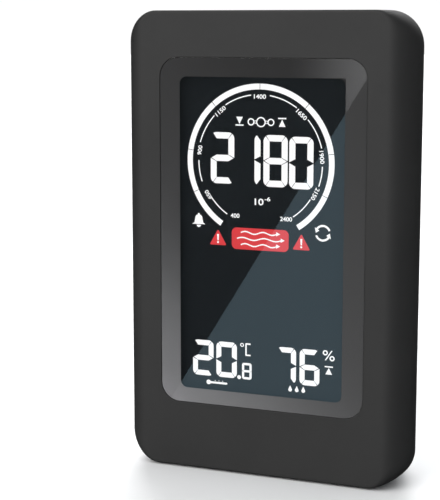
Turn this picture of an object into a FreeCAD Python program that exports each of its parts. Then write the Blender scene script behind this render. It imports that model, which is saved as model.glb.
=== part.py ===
import FreeCAD, Part
import math
import os
import Sketcher

# Desk carbon dioxide monitor: an upright case with a flush front window over an LCD, a tapered rear
# cover with keys, a power switch, a charging socket, a wall keyhole and a fold-out leg.
# X to the viewer's right, Y from front to back, Z up. Origin on the ground under the case's middle.

V = FreeCAD.Vector
doc = FreeCAD.newDocument("co2_monitor")
sheet = doc.addObject("Spreadsheet::Sheet", "sheet")

DRIVING = {
    # case
    "case_width": 96.2, "case_height": 147.5, "case_depth": 32.0, "foot_proud": 0.5,
    "side_round_width": 7.9, "side_round_depth": 12.2, "face_corner": 5.1, "side_corner": 10.9,
    "front_wall": 2.8, "side_wall": 2.2, "rear_wall": 2.4, "face_cavity_margin": 5.2,
    "deep_cavity_start": 7.0, "deep_cavity_margin": 2.8, "cavity_corner": 6.0, "part_step": 0.35,
    "rear_taper_side": 9.1, "rear_taper_top": 3.5, "rear_corner": 7.0, "rear_edge_round": 1.6,
    "lip_thickness": 1.3, "lip_length": 2.5, "lip_play": 0.15,
    # window and display
    "lens_side_margin": 6.1, "lens_top_margin": 14.55, "lens_bottom_margin": 21.75,
    "lens_thickness": 1.2, "lens_corner": 6.2, "lens_gap": 0.2, "lens_recess": 0.15,
    "tape_thickness": 0.2, "tape_inset": 0.6, "border_side": 6.8, "border_end": 5.35,
    "view_shift_x": -0.3, "view_shift_z": -0.55, "view_corner": 2.0, "aperture_margin": 2.0,
    "film_thickness": 0.2, "film_inset": 0.4, "glass_thickness": 1.1, "glass_overlap": 1.2,
    "contact_ledge": 4.6, "guide_thickness": 3.0, "guide_end_space": 3.6, "led_strip_thickness": 1.0,
    "led_size": 1.2, "led_width": 3.0, "led_count": 6, "led_side_space": 5.0, "frame_wall": 1.6,
    "frame_play": 0.2,
    "frame_back": 1.2, "frame_rib": 1.0, "frame_rib_height": 3.0, "zebra_thickness": 2.6,
    "zebra_play": 0.2, "zebra_side_space": 3.0,
    # main board and its fixings
    "board_thickness": 1.6, "board_side_margin": 7.1, "board_end_margin": 19.5, "board_corner": 2.0,
    "board_hole_side": 3.5, "board_hole_end": 6.0, "board_boss_radius": 2.8, "pilot_radius": 0.9,
    "small_screw_length": 6.0, "small_head_radius": 2.3, "small_head_height": 1.5, "hole_play": 0.5,
    "screw_play": 0.02, "case_screw_side": 15.1, "case_screw_low": 11.5, "case_screw_high": 9.0,
    "case_boss_radius": 3.4, "case_pilot_radius": 1.2, "case_screw_bite": 7.5, "column_radius": 4.3,
    "column_seat": 7.8, "case_head_radius": 2.8, "case_head_height": 2.0, "counterbore_play": 0.3,
    "drive_width": 0.8, "drive_span": 2.8, "drive_depth": 0.9,
    "chip_size": 14.0, "chip_height": 1.4, "chip_corner": 1.0, "buzzer_radius": 6.0,
    "buzzer_height": 4.5, "buzzer_port": 1.0, "buzzer_port_depth": 1.5,
    # gas sensor
    "gas_side_space": 8.6, "gas_top_space": 48.0, "gas_board_width": 20.0, "gas_board_length": 34.0,
    "thin_board": 1.2, "gas_stand_off": 2.5, "gas_cell_inset": 1.0, "gas_cell_height": 7.0,
    "gas_cell_wall": 1.5, "gas_cell_corner": 1.5, "gas_port_radius": 1.2, "gas_port_pitch": 5.0,
    "gas_filter_width": 13.0, "gas_filter_length": 15.6, "gas_filter_thickness": 0.3, "gas_lamp_radius": 1.9,
    "gas_lamp_length": 3.5, "gas_detector_radius": 2.4, "gas_detector_length": 3.6, "pin_width": 0.64,
    "pin_pitch": 2.54, "gas_pin_inset": 2.0, "gas_pin_count": 6,
    # temperature and humidity sensor
    "climate_side_space": 12.0, "climate_low_space": 30.0, "climate_width": 12.0, "climate_length": 14.0,
    "climate_stand_off": 6.6, "climate_chip": 3.0, "climate_chip_height": 0.9, "climate_pin_count": 4,
    # battery
    "cell_side_space": 31.1, "cell_length": 50.0, "cell_thickness": 10.0, "cell_low_space": 26.0,
    "cell_corner": 2.0, "pad_thickness": 0.5, "pad_side_inset": 5.0, "pad_length": 40.0,
    "circuit_height": 3.0, "circuit_inset": 1.0, "lead_radius": 0.6, "lead_pitch": 2.0,
    "lead_bend": 4.0, "lead_run": 6.0, "plug_width": 5.0, "plug_length": 6.5, "plug_height": 4.8,
    # keys
    "key_count": 5, "key_side_space": 12.4, "key_board_end": 7.2, "key_gap": 3.0,
    "key_top_space": 29.5, "key_height": 5.0,
    "key_corner": 2.4, "key_play": 0.2, "key_flange": 0.8, "key_flange_thickness": 1.1,
    "key_recess_depth": 1.2, "key_recess_margin": 2.2, "key_below_back": 0.1, "key_seat_gap": 0.05,
    "key_post_radius": 1.6, "key_post": 0.9, "switch_size": 6.0, "switch_height": 3.5,
    "plunger_radius": 1.7, "plunger_proud": 0.85, "plunger_inside": 0.9, "plunger_play": 0.1,
    "plunger_well": 1.8, "key_board_height": 10.0,
    # charging socket and power switch
    "power_side_space": 17.1, "power_board_width": 11.2, "power_board_low": 25.5,
    "power_board_length": 36.0, "power_screw_end": 3.5, "port_low_space": 39.5, "port_width": 3.3,
    "port_length": 9.0, "port_corner": 1.6, "port_shell": 0.3, "port_base": 1.5, "port_play": 0.15,
    "port_recess_side": 2.1, "tongue_width": 0.7, "tongue_length": 6.7, "tongue_short": 0.7,
    "slider_low_space": 50.5, "slide_body_width": 3.6, "slide_body_length": 8.0,
    "slide_body_height": 3.4, "lever_width": 1.6, "lever_play": 0.15, "lever_inside": 1.6,
    "slider_width": 3.0, "slider_length": 4.0, "slider_play": 0.2, "slider_travel": 2.0,
    "slider_recess_side": 1.8,
    # flat cables
    "flex_thickness": 0.3, "flex_width": 8.0, "flex_tab": 4.0, "flex_fall": 7.0,
    "flex_chip_gap": 1.0, "power_flex_rise": 15.0,
    # rear openings and hanging
    "vent_ear_gap": 1.6, "vent_wall_gap": 1.4, "vent_slot": 1.6, "vent_pitch": 3.6,
    "vent_count": 9, "vent_upper_space": 45.0, "vent_lower_space": 29.0, "gauze_thickness": 0.3,
    "gauze_margin": 1.0, "keyhole_top_space": 55.0, "keyhole_entry": 4.0, "keyhole_slot": 2.2,
    "keyhole_slot_flat": 0.044, "keyhole_rise": 8.0, "hood_wall": 1.4, "hood_depth": 5.0, "hood_space": 1.2,
    # fold-out leg
    "leg_side_space": 25.9, "leg_thickness": 2.8, "leg_below_back": 0.2, "leg_low": 3.2, "leg_pivot": 78.0,
    "leg_play": 0.4, "leg_back_play": 0.2, "barrel_radius": 2.6, "barrel_play": 0.3,
    "pivot_radius": 1.2, "pivot_play": 0.06, "leg_backing": 1.6, "barrel_backing": 1.8,
    "ear_width": 4.0, "leg_corner": 4.0, "leg_pad_low": 1.5, "leg_pad_height": 4.0,
    "leg_pad_thickness": 0.8, "leg_pad_inset": 6.0,
    # feet
    "foot_radius": 3.6, "foot_sunk": 0.7, "foot_side_space": 18.1, "foot_front": 6.4, "foot_rear": 6.5,
    "foot_play": 0.1,
}

for row, (alias, number) in enumerate(DRIVING.items(), start=1):
    sheet.set(f"A{row}", alias)
    sheet.set(f"B{row}", str(number))
    sheet.setAlias(f"B{row}", alias)
doc.recompute()


class Size:
    """A length that holds its number and the spreadsheet expression that an object is bound to."""

    def __init__(self, number, text):
        self.number = float(number)
        self.text = text

    def __add__(self, other):
        other = as_size(other)
        return Size(self.number + other.number, f"({self.text} + {other.text})")

    def __sub__(self, other):
        other = as_size(other)
        return Size(self.number - other.number, f"({self.text} - {other.text})")

    def __mul__(self, factor):
        factor = as_size(factor)
        return Size(self.number * factor.number, f"({self.text} * {factor.text})")

    def __truediv__(self, factor):
        factor = as_size(factor)
        return Size(self.number / factor.number, f"({self.text} / {factor.text})")

    def __neg__(self):
        return self * -1

    __radd__ = __add__
    __rmul__ = __mul__

    def __rsub__(self, other):
        return as_size(other) - self


def as_size(value):
    """A plain number as a Size, and a Size as it is."""
    return value if isinstance(value, Size) else Size(value, f"({value:.9g})")


def cell(alias):
    """The Size of one spreadsheet cell."""
    return Size(getattr(sheet, alias), f"sheet.{alias}")


class Cells:
    """Every spreadsheet cell, read by its alias."""

    def __getattr__(self, alias):
        return cell(alias)


c = Cells()
nodes = []
cuts = []


def bind(thing, prop, size):
    """Bind one property of an object to a spreadsheet expression."""
    thing.setExpression(prop, as_size(size).text)


# ---------------------------------------------------------------- sketches and features

def body(label):
    """A PartDesign body that is one sub-part."""
    made = doc.addObject("PartDesign::Body", label)
    made.Label = label
    nodes.append(made)
    return made


def sketch(owner, role, offset):
    """A sketch on one of the body's own origin planes, moved along the model's axis by offset."""
    plane = next(f for f in owner.Origin.OriginFeatures if f.Role == role)
    made = owner.newObject("Sketcher::SketchObject", "sketch")
    made.AttachmentSupport = (plane, [""])
    made.MapMode = "FlatFace"
    bind(made, ".AttachmentOffset.Base.z", -as_size(offset) if role == "XZ_Plane" else offset)
    return made


def datum(made, kind, geometry, point, size):
    """One bound dimension: a point's place across or up the sketch."""
    size = as_size(size)
    index = made.addConstraint(Sketcher.Constraint(kind, geometry, point, size.number))
    bind(made, f"Constraints[{index}]", size)


def radius(made, geometry, size):
    """A bound radius."""
    size = as_size(size)
    index = made.addConstraint(Sketcher.Constraint("Radius", geometry, size.number))
    bind(made, f"Constraints[{index}]", size)


def polygon(made, points):
    """A closed outline of straight lines through bound points."""
    points = [(as_size(a), as_size(b)) for a, b in points]
    corners = [V(a.number, b.number, 0) for a, b in points]
    first = made.GeometryCount
    count = len(corners)
    for i in range(count):
        made.addGeometry(Part.LineSegment(corners[i], corners[(i + 1) % count]))
    made.addConstraint([Sketcher.Constraint("Coincident", first + i, 2, first + (i + 1) % count, 1)
                        for i in range(count)])
    for i, (a, b) in enumerate(points):
        datum(made, "DistanceX", first + i, 1, a)
        datum(made, "DistanceY", first + i, 1, b)


def circle(made, across, up, size):
    """A bound circle."""
    across, up, size = as_size(across), as_size(up), as_size(size)
    centre = V(across.number, up.number, 0)
    index = made.addGeometry(Part.Circle(centre, V(0, 0, 1), size.number))
    datum(made, "DistanceX", index, 3, across)
    datum(made, "DistanceY", index, 3, up)
    radius(made, index, size)


def rectangle(made, left, right, low, high, corner=None):
    """A bound rectangle, with round corners when a corner radius is given."""
    left, right, low, high = (as_size(v) for v in (left, right, low, high))
    if corner is None:
        polygon(made, [(left, low), (right, low), (right, high), (left, high)])
        return
    corner = as_size(corner)
    first = made.GeometryCount
    a0, a1, b0, b1, r = (v.number for v in (left, right, low, high, corner))
    ends = [(a0 + r, b0, a1 - r, b0), (a1, b0 + r, a1, b1 - r),
            (a1 - r, b1, a0 + r, b1), (a0, b1 - r, a0, b0 + r)]
    for x0, y0, x1, y1 in ends:
        made.addGeometry(Part.LineSegment(V(x0, y0, 0), V(x1, y1, 0)))
    centres = [(a1 - r, b0 + r), (a1 - r, b1 - r), (a0 + r, b1 - r), (a0 + r, b0 + r)]
    for turn, (x, y) in enumerate(centres):
        start = math.radians(90 * turn - 90)
        round_edge = Part.Circle(V(x, y, 0), V(0, 0, 1), r)
        made.addGeometry(Part.ArcOfCircle(round_edge, start, start + math.pi / 2))
    ties = []
    for i in range(4):
        ties.append(Sketcher.Constraint("Tangent", first + i, 2, first + 4 + i, 1))
        ties.append(Sketcher.Constraint("Tangent", first + 4 + i, 2, first + (i + 1) % 4, 1))
        ties.append(Sketcher.Constraint("Horizontal" if i % 2 == 0 else "Vertical", first + i))
    for i in range(1, 4):
        ties.append(Sketcher.Constraint("Equal", first + 4, first + 4 + i))
    made.addConstraint(ties)
    radius(made, first + 4, corner)
    datum(made, "DistanceY", first, 1, low)
    datum(made, "DistanceX", first + 1, 1, right)
    datum(made, "DistanceY", first + 2, 1, high)
    datum(made, "DistanceX", first + 3, 1, left)


def pad(owner, profile, length, backwards=True):
    """Material from the sketch's plane, towards +Y on the XZ plane and away from the normal elsewhere."""
    made = owner.newObject("PartDesign::Pad", "pad")
    made.Profile = profile
    made.Reversed = backwards
    bind(made, "Length", length)
    return made


def pocket(owner, profile, length, backwards=False):
    """A cut from the sketch's plane, towards +Y on the XZ plane and against the normal elsewhere."""
    made = owner.newObject("PartDesign::Pocket", "pocket")
    made.Profile = profile
    made.Reversed = backwards
    bind(made, "Length", length)
    cuts.append((owner, made))
    return made


def plate(label, left, right, low, high, front, back, corner=None):
    """A flat piece that faces forward: one rectangle padded from its front to its back."""
    made = body(label)
    outline = sketch(made, "XZ_Plane", front)
    rectangle(outline, left, right, low, high, corner)
    pad(made, outline, as_size(back) - front)
    return made


def window(owner, left, right, low, high, front, back, corner=None):
    """A rectangular cut through a body from front to back."""
    outline = sketch(owner, "XZ_Plane", front)
    rectangle(outline, left, right, low, high, corner)
    return pocket(owner, outline, as_size(back) - front)


def block(owner, left, right, low, high, front, back, corner=None):
    """A rectangular addition to a body from front to back."""
    outline = sketch(owner, "XZ_Plane", front)
    rectangle(outline, left, right, low, high, corner)
    return pad(owner, outline, as_size(back) - front)


def rounds(owner, places, size, front, back, cut):
    """Round bosses or holes of one radius, from front to back."""
    outline = sketch(owner, "XZ_Plane", front)
    for x, z in places:
        circle(outline, x, z, size)
    feature = pocket if cut else pad
    return feature(owner, outline, as_size(back) - front)


def repeat(owner, feature, axis_role, span, count):
    """A row of one feature along an origin axis; span is first to last."""
    row = owner.newObject("PartDesign::LinearPattern", "row")
    row.Originals = [feature]
    row.Direction = (next(f for f in owner.Origin.OriginFeatures if f.Role == axis_role), [""])
    bind(row, "Length", span)
    bind(row, "Occurrences", count)
    owner.Tip = row
    return row


# ---------------------------------------------------------------- loose solids and groups

def cylinder(axis, x, y, z, size, length):
    """A cylinder that starts at a bound point and runs along +X, +Y or +Z."""
    made = doc.addObject("Part::Cylinder", "cylinder")
    turns = {"x": FreeCAD.Rotation(V(0, 1, 0), 90), "y": FreeCAD.Rotation(V(1, 0, 0), -90),
             "z": FreeCAD.Rotation()}
    made.Placement = FreeCAD.Placement(V(0, 0, 0), turns[axis])
    bind(made, "Radius", size)
    bind(made, "Height", length)
    for letter, place in zip("xyz", (x, y, z)):
        bind(made, f".Placement.Base.{letter}", place)
    return made


def box(left, right, front, back, low, high):
    """A box between bound planes."""
    made = doc.addObject("Part::Box", "box")
    bind(made, "Length", as_size(right) - left)
    bind(made, "Width", as_size(back) - front)
    bind(made, "Height", as_size(high) - low)
    for letter, place in zip("xyz", (left, front, low)):
        bind(made, f".Placement.Base.{letter}", place)
    return made


def fused(parts):
    """One solid from several that touch."""
    made = doc.addObject("Part::MultiFuse", "fused")
    made.Shapes = parts
    return made


def cut(base, tool):
    """One solid with another taken out of it."""
    made = doc.addObject("Part::Cut", "cut")
    made.Base = base
    made.Tool = tool
    return made


def group(label, parts):
    """Identical separate solids as one sub-part."""
    made = doc.addObject("Part::Compound", label)
    made.Label = label
    made.Links = parts
    nodes.append(made)
    return made


def single(label, made):
    """A solid from Part's tools as a sub-part of its own."""
    made.Label = label
    nodes.append(made)
    return made


def screw(x, z, seat, head_radius, head_height, shank_radius, length, towards_front):
    """A pan head screw with a cross drive; its head's flat seat is at y = seat."""
    side = -1 if towards_front else 1
    seat = as_size(seat)
    head_front = seat if towards_front else seat - head_height
    shank_front = seat - length if towards_front else seat
    head = cylinder("y", x, head_front, z, head_radius, head_height)
    shank = cylinder("y", x, shank_front, z, shank_radius, length)
    face = seat + head_height if towards_front else seat - head_height
    drive_front = face - c.drive_depth if towards_front else face
    drive_back = face if towards_front else face + c.drive_depth
    half_width, half_span = c.drive_width / 2, c.drive_span / 2
    flat = box(x - half_span, x + half_span, drive_front, drive_back, z - half_width, z + half_width)
    upright = box(x - half_width, x + half_width, drive_front, drive_back, z - half_span, z + half_span)
    return cut(fused([head, shank]), fused([flat, upright]))


# ---------------------------------------------------------------- places that several pieces share

half_case = c.case_width / 2
front = -(c.case_depth / 2)
back = c.case_depth / 2
low = c.foot_proud
high = low + c.case_height
part_line = front + c.side_round_depth
inner_front = front + c.front_wall
inner_back = back - c.rear_wall

lens_half = half_case - c.side_round_width - c.lens_side_margin
lens_low = low + c.lens_bottom_margin
lens_high = high - c.lens_top_margin
lens_front = front + c.lens_recess
lens_back = lens_front + c.lens_thickness
tape_back = lens_back + c.tape_thickness

view_half = lens_half - c.border_side
view_x = c.view_shift_x
view_low = lens_low + c.border_end + c.view_shift_z
view_high = lens_high - c.border_end + c.view_shift_z
aperture_half = view_half + c.aperture_margin
aperture_low = view_low - c.aperture_margin
aperture_high = view_high + c.aperture_margin

glass_half = aperture_half + c.glass_overlap
glass_low = aperture_low - c.glass_overlap
glass_high = aperture_high + c.glass_overlap
front_glass_back = inner_front + c.glass_thickness
rear_glass_back = front_glass_back + c.glass_thickness
rear_polariser_back = rear_glass_back + c.film_thickness
diffuser_back = rear_polariser_back + c.film_thickness
guide_back = diffuser_back + c.guide_thickness
reflector_back = guide_back + c.film_thickness
frame_half = glass_half + c.frame_play + c.frame_wall
frame_low = glass_low - c.frame_play - c.frame_wall
frame_high = glass_high + c.frame_play + c.frame_wall
board_front = reflector_back + c.frame_back
board_back = board_front + c.board_thickness

board_half = half_case - c.board_side_margin
board_low = low + c.board_end_margin
board_high = high - c.board_end_margin
board_screw_x = board_half - c.board_hole_side
board_screws = [(sx * board_screw_x, z) for sx in (-1, 1)
                for z in (board_low + c.board_hole_end, board_high - c.board_hole_end)]
case_screw_x = half_case - c.case_screw_side
case_screws = [(sx * case_screw_x, z) for sx in (-1, 1)
               for z in (low + c.case_screw_low, high - c.case_screw_high)]
foot_x = half_case - c.foot_side_space

# ---------------------------------------------------------------- front housing

housing = body("front_housing")
side_round_angles = (0, 15, 30, 45, 60, 75, 90)
sections = []
for degrees in side_round_angles:
    out = math.sin(math.radians(degrees))
    deep = 1 - math.cos(math.radians(degrees))
    section = sketch(housing, "XZ_Plane", front + c.side_round_depth * deep)
    half = half_case - c.side_round_width * (1 - out)
    corner = c.face_corner + (c.side_corner - c.face_corner) * out
    rectangle(section, -half, half, low, high, corner)
    sections.append(section)
shell = housing.newObject("PartDesign::AdditiveLoft", "shell")
shell.Profile = sections[0]
shell.Sections = [(s, [""]) for s in sections[1:]]
cavity_half = half_case - c.face_cavity_margin
deep_half = half_case - c.deep_cavity_margin
deep_corner = c.side_corner - c.side_wall
window(housing, -cavity_half, cavity_half, low + c.side_wall, high - c.side_wall,
       inner_front, part_line, c.cavity_corner)
window(housing, -deep_half, deep_half, low + c.side_wall, high - c.side_wall,
       front + c.deep_cavity_start, part_line, deep_corner)
rounds(housing, case_screws, c.case_boss_radius, inner_front, part_line, cut=False)
rounds(housing, board_screws, c.board_boss_radius, inner_front, board_front, cut=False)
rib_out = frame_half + c.frame_play + c.frame_rib
rib = sketch(housing, "XZ_Plane", inner_front)
rectangle(rib, view_x - rib_out, view_x + rib_out, frame_low - c.frame_play - c.frame_rib,
          frame_high + c.frame_play + c.frame_rib)
rectangle(rib, view_x - frame_half - c.frame_play, view_x + frame_half + c.frame_play,
          frame_low - c.frame_play, frame_high + c.frame_play)
pad(housing, rib, c.frame_rib_height)
window(housing, -lens_half - c.lens_gap, lens_half + c.lens_gap, lens_low - c.lens_gap,
       lens_high + c.lens_gap, front, tape_back, c.lens_corner + c.lens_gap)
window(housing, view_x - aperture_half, view_x + aperture_half, aperture_low, aperture_high,
       front, inner_front, c.view_corner)
rounds(housing, case_screws, c.case_pilot_radius, part_line - c.case_screw_bite - c.screw_play,
       part_line, cut=True)
rounds(housing, board_screws, c.pilot_radius, board_front - c.small_screw_length,
       board_front, cut=True)
front_foot_y = part_line - c.foot_front
front_feet = sketch(housing, "XY_Plane", low)
for side in (-1, 1):
    circle(front_feet, side * foot_x, front_foot_y, c.foot_radius + c.foot_play)
pocket(housing, front_feet, c.foot_sunk, backwards=True)

# ---------------------------------------------------------------- window and display stack

plate("window_lens", -lens_half, lens_half, lens_low, lens_high, lens_front, lens_back, c.lens_corner)

tape = plate("lens_tape", c.tape_inset - lens_half, lens_half - c.tape_inset, lens_low + c.tape_inset,
             lens_high - c.tape_inset, lens_back, tape_back, c.lens_corner - c.tape_inset)
window(tape, view_x - aperture_half - c.tape_inset, view_x + aperture_half + c.tape_inset,
       aperture_low - c.tape_inset, aperture_high + c.tape_inset, lens_back, tape_back, c.view_corner)

film_half = aperture_half - c.film_inset
plate("front_polariser", view_x - film_half, view_x + film_half, aperture_low + c.film_inset,
      aperture_high - c.film_inset, inner_front - c.film_thickness, inner_front,
      c.view_corner - c.film_inset)
plate("lcd_front_glass", view_x - glass_half, view_x + glass_half, glass_low, glass_high,
      inner_front, front_glass_back)
rear_glass_low = glass_low + c.contact_ledge
plate("lcd_rear_glass", view_x - glass_half, view_x + glass_half, rear_glass_low, glass_high,
      front_glass_back, rear_glass_back)
plate("rear_polariser", view_x - film_half, view_x + film_half, rear_glass_low + c.film_inset,
      glass_high - c.film_inset, rear_glass_back, rear_polariser_back)
guide_high = glass_high - c.guide_end_space
plate("diffuser_film", view_x - film_half, view_x + film_half, rear_glass_low + c.film_inset,
      guide_high, rear_polariser_back, diffuser_back)
plate("light_guide", view_x - glass_half, view_x + glass_half, rear_glass_low, guide_high,
      diffuser_back, guide_back)
plate("reflector_film", view_x - glass_half, view_x + glass_half, rear_glass_low, guide_high,
      guide_back, reflector_back)
led_half = glass_half - c.led_side_space
led_pitch = (led_half - c.led_width) * 2 / (c.led_count - 1)
plate("led_strip", view_x - led_half, view_x + led_half, guide_high + c.led_size,
      guide_high + c.led_size + c.led_strip_thickness, diffuser_back, reflector_back)
leds = []
for i in range(int(c.led_count.number)):
    x = view_x + c.led_width - led_half + led_pitch * i
    leds.append(box(x - c.led_width / 2, x + c.led_width / 2, diffuser_back, guide_back,
                    guide_high, guide_high + c.led_size))
group("backlight_leds", leds)

frame = plate("lcd_frame", view_x - frame_half, view_x + frame_half, frame_low, frame_high,
              inner_front, board_front)
window(frame, view_x - glass_half - c.frame_play, view_x + glass_half + c.frame_play,
       glass_low - c.frame_play, glass_high + c.frame_play, inner_front, reflector_back)
zebra_half = glass_half - c.zebra_side_space
zebra_low = glass_low + (c.contact_ledge - c.zebra_thickness) / 2
zebra_high = zebra_low + c.zebra_thickness
window(frame, view_x - zebra_half - c.zebra_play, view_x + zebra_half + c.zebra_play,
       zebra_low - c.zebra_play, zebra_high + c.zebra_play, reflector_back, board_front)
plate("zebra_strip", view_x - zebra_half, view_x + zebra_half, zebra_low, zebra_high,
      front_glass_back, board_front)

# ---------------------------------------------------------------- main board

main_board = plate("main_board", -board_half, board_half, board_low, board_high,
                   board_front, board_back, c.board_corner)
rounds(main_board, board_screws, c.pilot_radius + c.hole_play, board_front, board_back, cut=True)
group("main_board_screws",
      [screw(x, z, board_back, c.small_head_radius, c.small_head_height,
             c.pilot_radius - c.screw_play, c.small_screw_length, True) for x, z in board_screws])
chip_z = high - c.gas_top_space
plate("microcontroller", -c.chip_size / 2, c.chip_size / 2, chip_z - c.chip_size / 2,
      chip_z + c.chip_size / 2, board_back, board_back + c.chip_height, c.chip_corner)
buzzer_x = board_screw_x - c.buzzer_radius
buzzer_z = high - c.gas_top_space - c.buzzer_radius
buzzer = cut(cylinder("y", buzzer_x, board_back, buzzer_z, c.buzzer_radius, c.buzzer_height),
             cylinder("y", buzzer_x, board_back + c.buzzer_height - c.buzzer_port_depth, buzzer_z,
                      c.buzzer_port, c.buzzer_port_depth))
single("buzzer", buzzer)

# ---------------------------------------------------------------- gas sensor module

gas_left = c.gas_side_space - half_case
gas_right = gas_left + c.gas_board_width
gas_high = high - c.gas_top_space
gas_low = gas_high - c.gas_board_length
gas_front = board_back + c.gas_stand_off
gas_back = gas_front + c.thin_board
cell_back = gas_back + c.gas_cell_height
gas_x = (gas_left + gas_right) / 2
gas_z = (gas_low + gas_high) / 2
inside = c.gas_cell_inset + c.gas_cell_wall
plate("co2_board", gas_left, gas_right, gas_low, gas_high, gas_front, gas_back)
chamber = plate("co2_chamber", gas_left + c.gas_cell_inset, gas_right - c.gas_cell_inset,
                gas_low + c.gas_cell_inset, gas_high - c.gas_cell_inset, gas_back, cell_back, c.gas_cell_corner)
window(chamber, gas_left + inside, gas_right - inside, gas_low + inside, gas_high - inside,
       gas_back, cell_back - c.gas_cell_wall)
ports = [(gas_x + c.gas_port_pitch * i / 2, gas_z + c.gas_port_pitch * k)
         for i in (-1, 1) for k in (-1, 0, 1)]
rounds(chamber, ports, c.gas_port_radius, cell_back - c.gas_cell_wall, cell_back, cut=True)
filter_half = c.gas_filter_width / 2
filter_reach = c.gas_filter_length / 2
plate("co2_filter", gas_x - filter_half, gas_x + filter_half, gas_z - filter_reach,
      gas_z + filter_reach, cell_back, cell_back + c.gas_filter_thickness)
beam_y = gas_back + c.gas_detector_radius + c.gas_filter_thickness
single("co2_lamp", cylinder("z", gas_x, beam_y, gas_low + inside, c.gas_lamp_radius, c.gas_lamp_length))
single("co2_detector", cylinder("z", gas_x, beam_y, gas_high - inside - c.gas_detector_length,
                                c.gas_detector_radius, c.gas_detector_length))


def pins(label, x, z, first_y, last_y, count):
    """A row of square header pins between two boards."""
    row = []
    half_pin = c.pin_width / 2
    for i in range(int(count.number)):
        px = x + c.pin_pitch * (i - (count - 1) / 2)
        row.append(box(px - half_pin, px + half_pin, first_y, last_y, z - half_pin, z + half_pin))
    return group(label, row)


pins("co2_pins", gas_x, gas_low + c.gas_pin_inset, board_back, gas_front, c.gas_pin_count)

# ---------------------------------------------------------------- temperature and humidity sensor

climate_right = half_case - c.climate_side_space
climate_left = climate_right - c.climate_width
climate_low = low + c.climate_low_space
climate_high = climate_low + c.climate_length
climate_front = board_back + c.climate_stand_off
climate_back = climate_front + c.thin_board
climate_x = (climate_left + climate_right) / 2
climate_z = (climate_low + climate_high) / 2
plate("climate_board", climate_left, climate_right, climate_low, climate_high, climate_front, climate_back)
half_chip = c.climate_chip / 2
plate("climate_sensor", climate_x - half_chip, climate_x + half_chip, climate_z - half_chip,
      climate_z + half_chip, climate_back, climate_back + c.climate_chip_height)
pins("climate_pins", climate_x, climate_low + c.gas_pin_inset, board_back, climate_front, c.climate_pin_count)

# ---------------------------------------------------------------- battery

cell_half = half_case - c.cell_side_space
pad_half = cell_half - c.pad_side_inset
cell_low = low + c.cell_low_space
cell_high = cell_low + c.cell_length
cell_front = board_back + c.pad_thickness
battery_back = cell_front + c.cell_thickness
cell_z = (cell_low + cell_high) / 2
plate("battery_tape", -pad_half, pad_half, cell_z - c.pad_length / 2,
      cell_z + c.pad_length / 2, board_back, cell_front)
plate("battery_cell", -cell_half, cell_half, cell_low, cell_high, cell_front, battery_back, c.cell_corner)
plate("battery_circuit", c.circuit_inset - cell_half, cell_half - c.circuit_inset, cell_high,
      cell_high + c.circuit_height, cell_front + c.circuit_inset, battery_back - c.circuit_inset)
lead_start = cell_half - c.circuit_inset
lead_y = battery_back - c.circuit_inset - c.lead_radius
lead_end_y = board_back + c.plug_height
lead_x = lead_start + c.lead_run
plug_x = lead_x + c.lead_bend
lead_z = cell_high + c.circuit_height / 2
plate("battery_plug", plug_x - c.plug_width / 2, plug_x + c.plug_width / 2, lead_z - c.plug_length / 2,
      lead_z + c.plug_length / 2, board_back, lead_end_y)
wires = []
for side in (-0.5, 0.5):
    z = (lead_z + c.lead_pitch * side).number
    x0, x1, y1, y0, bend = (v.number for v in (lead_start, lead_x, lead_y, lead_end_y, c.lead_bend))
    turn = math.sqrt(0.5) * bend
    path = Part.Wire([
        Part.LineSegment(V(x0, y1, z), V(x1, y1, z)).toShape(),
        Part.Arc(V(x1, y1, z), V(x1 + turn, y1 - bend + turn, z), V(x1 + bend, y1 - bend, z)).toShape(),
        Part.LineSegment(V(x1 + bend, y1 - bend, z), V(x1 + bend, y0, z)).toShape()])
    ring = Part.Wire([Part.Circle(V(x0, y1, z), V(1, 0, 0), c.lead_radius.number).toShape()])
    wire = doc.addObject("Part::Feature", "wire")
    wire.Shape = path.makePipeShell([ring], True, True)
    wire.Placement = FreeCAD.Placement()
    wires.append(wire)
group("battery_lead", wires)

# ---------------------------------------------------------------- keys and their board

key_z = high - c.key_top_space
recess_floor = back - c.key_recess_depth
flange_back = inner_back - c.key_seat_gap
flange_front = flange_back - c.key_flange_thickness
plunger_back = flange_front - c.key_post
switch_back = plunger_back - c.plunger_proud
key_board_back = switch_back - c.switch_height
key_board_front = key_board_back - c.thin_board
key_board_half = half_case - c.key_side_space
key_pitch = (key_board_half - c.key_board_end + c.key_gap / 2) * 2 / c.key_count
key_width = key_pitch - c.key_gap
key_row_half = key_pitch * (c.key_count - 1) / 2
key_screw_x = key_board_half - c.board_hole_side
key_screws = [(-key_screw_x, key_z), (key_screw_x, key_z)]
key_board_low = key_z - c.key_board_height / 2
key_board = plate("control_board", -key_board_half, key_board_half, key_board_low,
                  key_z + c.key_board_height / 2, key_board_front, key_board_back)
rounds(key_board, key_screws, c.pilot_radius + c.hole_play, key_board_front, key_board_back, cut=True)
switches = []
half_switch = c.switch_size / 2
for i in range(int(c.key_count.number)):
    x = key_pitch * i - key_row_half
    shell_box = box(x - half_switch, x + half_switch, key_board_back, switch_back,
                    key_z - half_switch, key_z + half_switch)
    well = cylinder("y", x, switch_back - c.plunger_well, key_z, c.plunger_radius + c.plunger_play,
                    c.plunger_well)
    switches.append(cut(shell_box, well))
group("key_switches", switches)
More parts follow.
